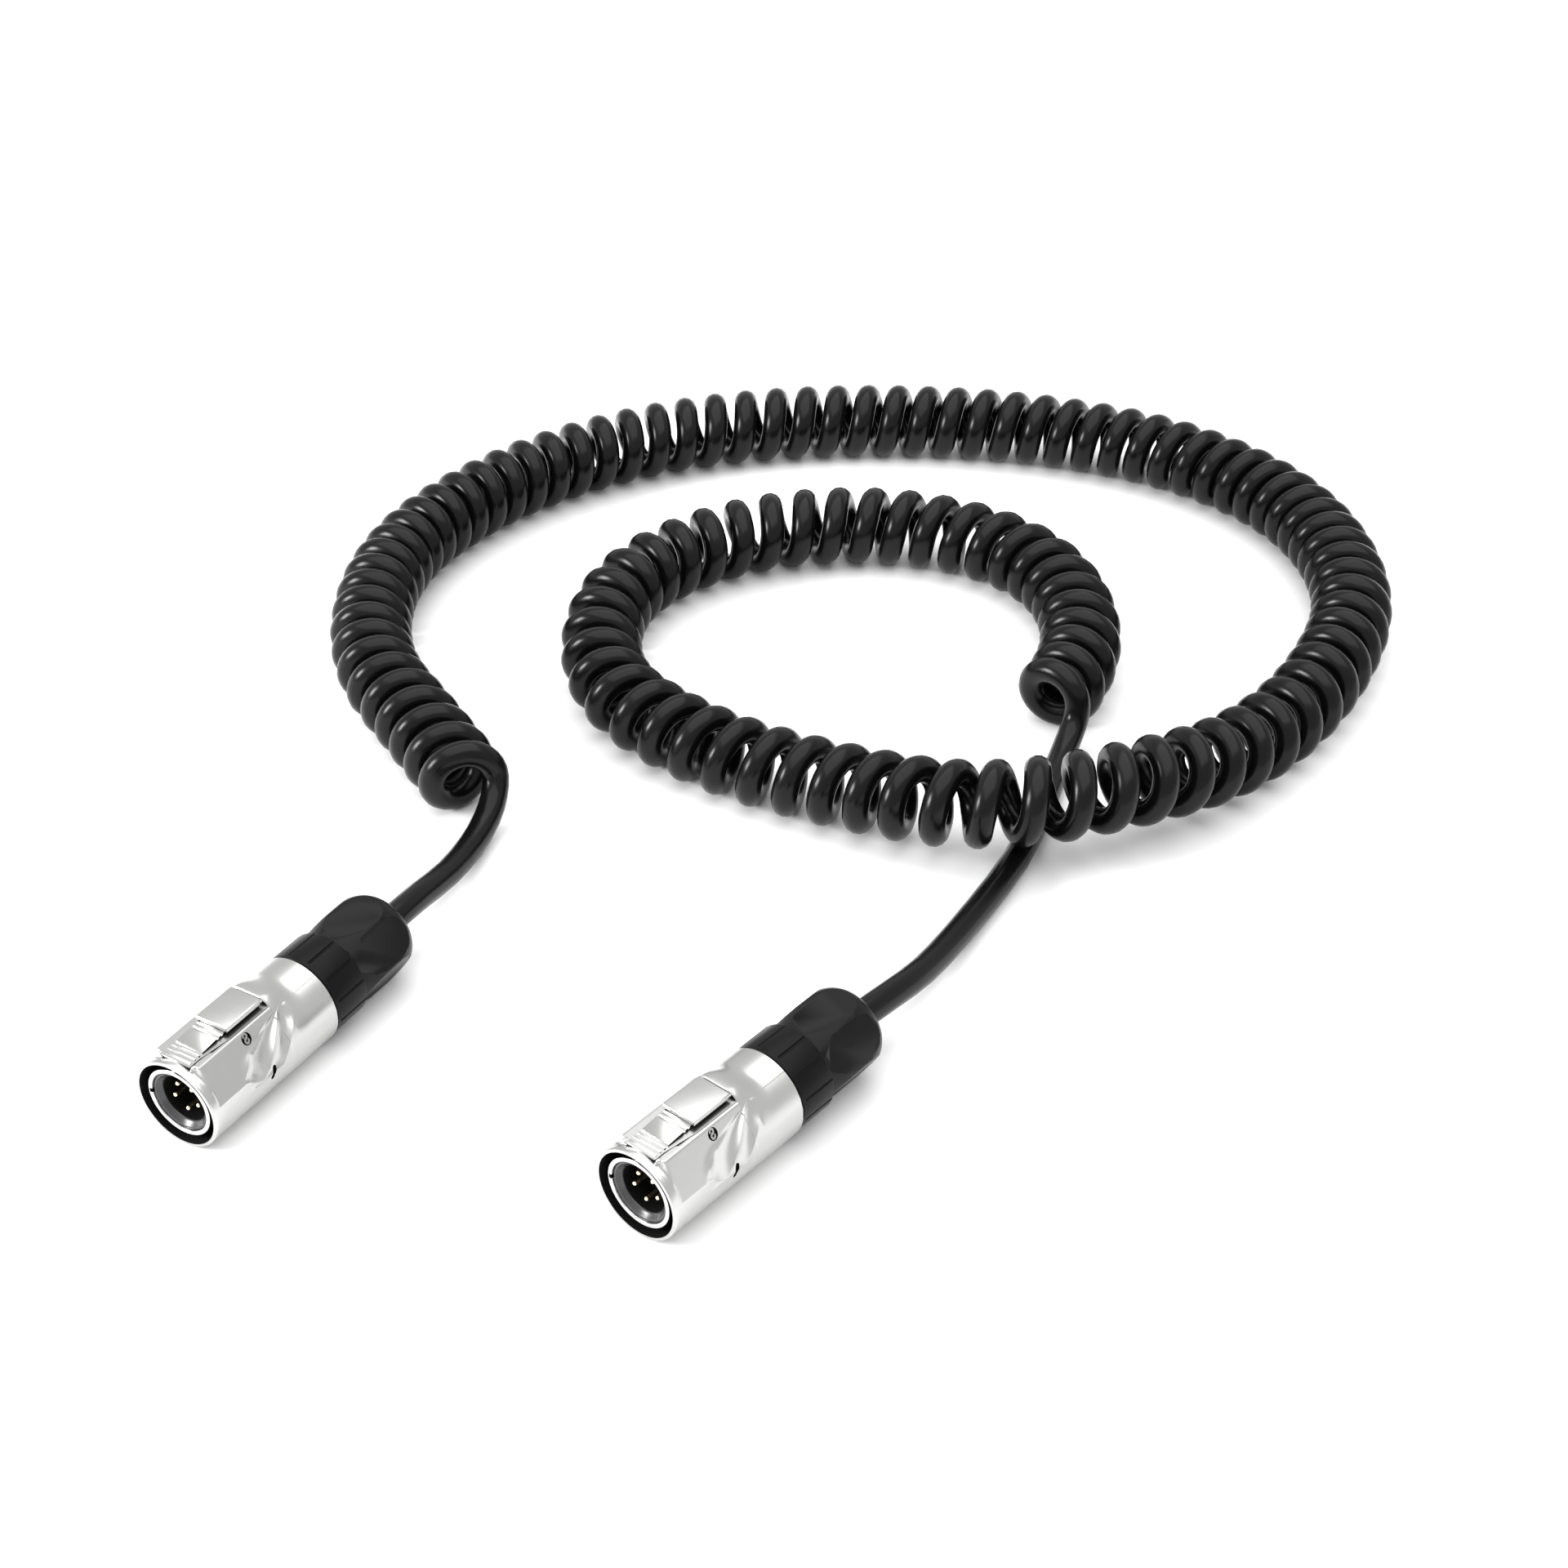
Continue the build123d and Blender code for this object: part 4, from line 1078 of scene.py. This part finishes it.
# ---------------------------------------------------------------- cord
@dataclass
class CurlyCord:
    """The whole cord: a tail from each gland and the helix between them, as one spline."""

    plug: Plug
    diameter: float = 0.0074
    coil_diameter: float = 0.024
    points_per_turn: int = 16
    length: float = 6.02

    @property
    def winding_radius(self) -> float:
        """Radius from the coil's axis to the cord's own centre."""
        return (self.coil_diameter - self.diameter) / 2

    def line(self, points: Points, steps: int = 24) -> list[Vector]:
        """Points along the smooth line that a route's points steer.

        Args:
            points: the route.
            steps: divisions of each run.

        Returns:
            Points along the line, in order.
        """
        data = bpy.data.curves.new("route", "CURVE")
        data.dimensions = "3D"
        spline = data.splines.new("NURBS")
        spline.points.add(len(points) - 1)
        for point, at in zip(spline.points, points):
            point.co = (*at, 1.0)
        spline.order_u = 3
        spline.use_endpoint_u = True
        spline.resolution_u = steps
        holder = bpy.data.objects.new("route", data)
        mesh = bpy.data.meshes.new_from_object(holder)
        found = [v.co.copy() for v in mesh.vertices]
        bpy.data.objects.remove(holder)
        bpy.data.curves.remove(data)
        bpy.data.meshes.remove(mesh)
        return found

    def spacing(self, along: float) -> float:
        """Spacing of the turns at a place on the coil's axis.

        Args:
            along: distance from the coil's outer end, in metres.

        Returns:
            The spacing, in metres.
        """
        for (near, first), (far, second) in zip(TURN_SPACING, TURN_SPACING[1:]):
            if along <= far:
                return first + (second - first) * (along - near) / (far - near)
        return TURN_SPACING[-1][1]

    def helix(self) -> list[Vector]:
        """Wind the coil left-handed round its route, from the outer end to the inner one.

        Returns:
            The winding's points, in metres.
        """
        axis = self.line(COIL_ROUTE)
        along = [0.0]
        for start, end in zip(axis, axis[1:]):
            along.append(along[-1] + (end - start).length)
        steps = 20000
        step = along[-1] / steps
        wound = [0.0]
        for n in range(steps):
            wound.append(wound[-1] + math.tau * step / self.spacing((n + 0.5) * step))
        turns = round(wound[-1] / math.tau - 0.5) + 0.5
        stretch = turns * math.tau / wound[-1]
        # a spline's own line runs a little inside its points
        radius = self.winding_radius / math.cos(math.pi / self.points_per_turn)
        up = Vector((0.0, 0.0, 1.0))
        points, i, at = [], 0, 0
        for n in range(int(turns * self.points_per_turn) + 1):
            target = n * math.tau / self.points_per_turn
            while at < steps and wound[at] * stretch < target:
                at += 1
            distance = at * step
            while i < len(along) - 2 and along[i + 1] < distance:
                i += 1
            share = min(1.0, (distance - along[i]) / max(1e-9, along[i + 1] - along[i]))
            centre = axis[i].lerp(axis[i + 1], share)
            tangent = (axis[min(i + 2, len(axis) - 1)] - axis[max(i - 1, 0)]).normalized()
            rise = (up - tangent * up.dot(tangent)).normalized()
            right = tangent.cross(rise)
            points.append(centre + (right * math.cos(target) + rise * math.sin(target)) * radius)
        return points

    def build(self) -> bpy.types.Object:
        """Lay the cord as one spline with a round section.

        Returns:
            The cord's curve object.
        """
        start = [tuple(self.plug.place(Side.A) @ Vector((0.0, y, 0.0))) for y in (54.5, 67, 80)]
        end = [tuple(self.plug.place(Side.B) @ Vector((0.0, y, 0.0))) for y in (80, 67, 54.5)]
        exit_at = tuple(self.plug.place(Side.A) @ Vector((0.0, 77.0, 0.0)))
        winding = [tuple(p) for p in self.helix()]
        points = start + TAIL_A_ROUTE + winding + TAIL_B_ROUTE[::-1] + end
        data = bpy.data.curves.new("cord", "CURVE")
        data.dimensions = "3D"
        data.bevel_depth = self.diameter / 2
        data.bevel_resolution = 5
        data.use_fill_caps = True
        spline = data.splines.new("NURBS")
        spline.points.add(len(points) - 1)
        for point, at in zip(spline.points, points):
            point.co = (*at, 1.0)
        spline.order_u = 3
        spline.use_endpoint_u = True
        spline.resolution_u = 2
        spline.use_smooth = True
        cord = linked("cord", data)
        cord.data.materials.append(CORD_JACKET.material())
        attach(cord, "cable")
        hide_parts("cord_coil", "cord_tail_a", "cord_tail_b")
        log.info("cord: %d points, %d in the winding", len(points), len(winding))
        return cord


# ---------------------------------------------------------------- stage
@dataclass
class Stage:
    """Pale floor, soft lights and the camera."""

    floor_size: float = 6.0
    eye: tuple[float, float, float] = (0.3497, -0.3106, 0.4274)
    azimuth: float = 40.25
    fall: float = 36.0
    lens: float = 60.0
    target: tuple[float, float, float] = (-0.03, 0.12, 0.0)
    surround: float = 0.85

    def build_floor(self) -> None:
        """Lay the pale floor."""
        deselect()
        bpy.ops.mesh.primitive_plane_add(size=self.floor_size, location=(0.0, 0.0, 0.0))
        floor = bpy.context.object
        floor.name = "studio_floor"
        material = bpy.data.materials.new("studio_floor")
        material.use_nodes = True
        shader = material.node_tree.nodes["Principled BSDF"]
        shader.inputs["Base Color"].default_value = (0.93, 0.93, 0.93, 1.0)
        shader.inputs["Roughness"].default_value = 0.9
        shader.inputs["Specular IOR Level"].default_value = 0.1
        floor.data.materials.append(material)

    def add_light(self, name: str, at: tuple[float, float, float], size: float, power: float) -> None:
        """Hang one square soft light that faces the coil.

        Args:
            name: the light's name.
            at: its place.
            size: its edge.
            power: its power in watts.
        """
        data = bpy.data.lights.new(name, "AREA")
        data.shape = "SQUARE"
        data.size = size
        data.energy = power
        lamp = linked(name, data)
        lamp.location = at
        aim = Vector(self.target) - Vector(at)
        lamp.rotation_mode = "QUATERNION"
        lamp.rotation_quaternion = aim.to_track_quat("-Z", "Y")

    def build_lights(self) -> None:
        """Soft overhead light, a key from the left and a pale surround."""
        world = bpy.data.worlds.new("studio")
        bpy.context.scene.world = world
        world.use_nodes = True
        background = world.node_tree.nodes["Background"]
        background.inputs["Color"].default_value = (1.0, 1.0, 1.0, 1.0)
        background.inputs["Strength"].default_value = self.surround
        self.add_light("overhead", (0.0, 0.2, 1.6), 2.4, 34.0)
        self.add_light("key", (-0.75, -0.85, 0.50), 0.42, 18.0)

    def build_camera(self) -> None:
        """Set the camera at the viewing angle."""
        data = bpy.data.cameras.new("camera")
        data.lens = self.lens
        data.sensor_width = 36.0
        data.clip_start, data.clip_end = 0.01, 20.0
        camera = linked("camera", data)
        camera.location = self.eye
        azimuth, fall = math.radians(self.azimuth), math.radians(self.fall)
        level = math.cos(fall)
        aim = Vector((-math.sin(azimuth) * level, math.cos(azimuth) * level, -math.sin(fall)))
        camera.rotation_mode = "QUATERNION"
        camera.rotation_quaternion = aim.to_track_quat("-Z", "Y")
        bpy.context.scene.camera = camera
        bpy.context.scene.view_settings.view_transform = "Standard"


def dress_nodes() -> None:
    """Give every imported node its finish."""
    for name, node in frame["nodes"].items():
        for start, finish in NODE_FINISHES.items():
            if name.startswith(start):
                node.data.materials.clear()
                node.data.materials.append(finish.material())
                break


def main() -> None:
    """Build the stage and every piece in order."""
    stage = Stage()
    stage.build_floor()
    stage.build_lights()
    stage.build_camera()
    plug = Plug()
    plug.build()
    CurlyCord(plug).build()
    dress_nodes()


if __name__ == "__main__":
    logging.basicConfig(level=logging.INFO)
    main()
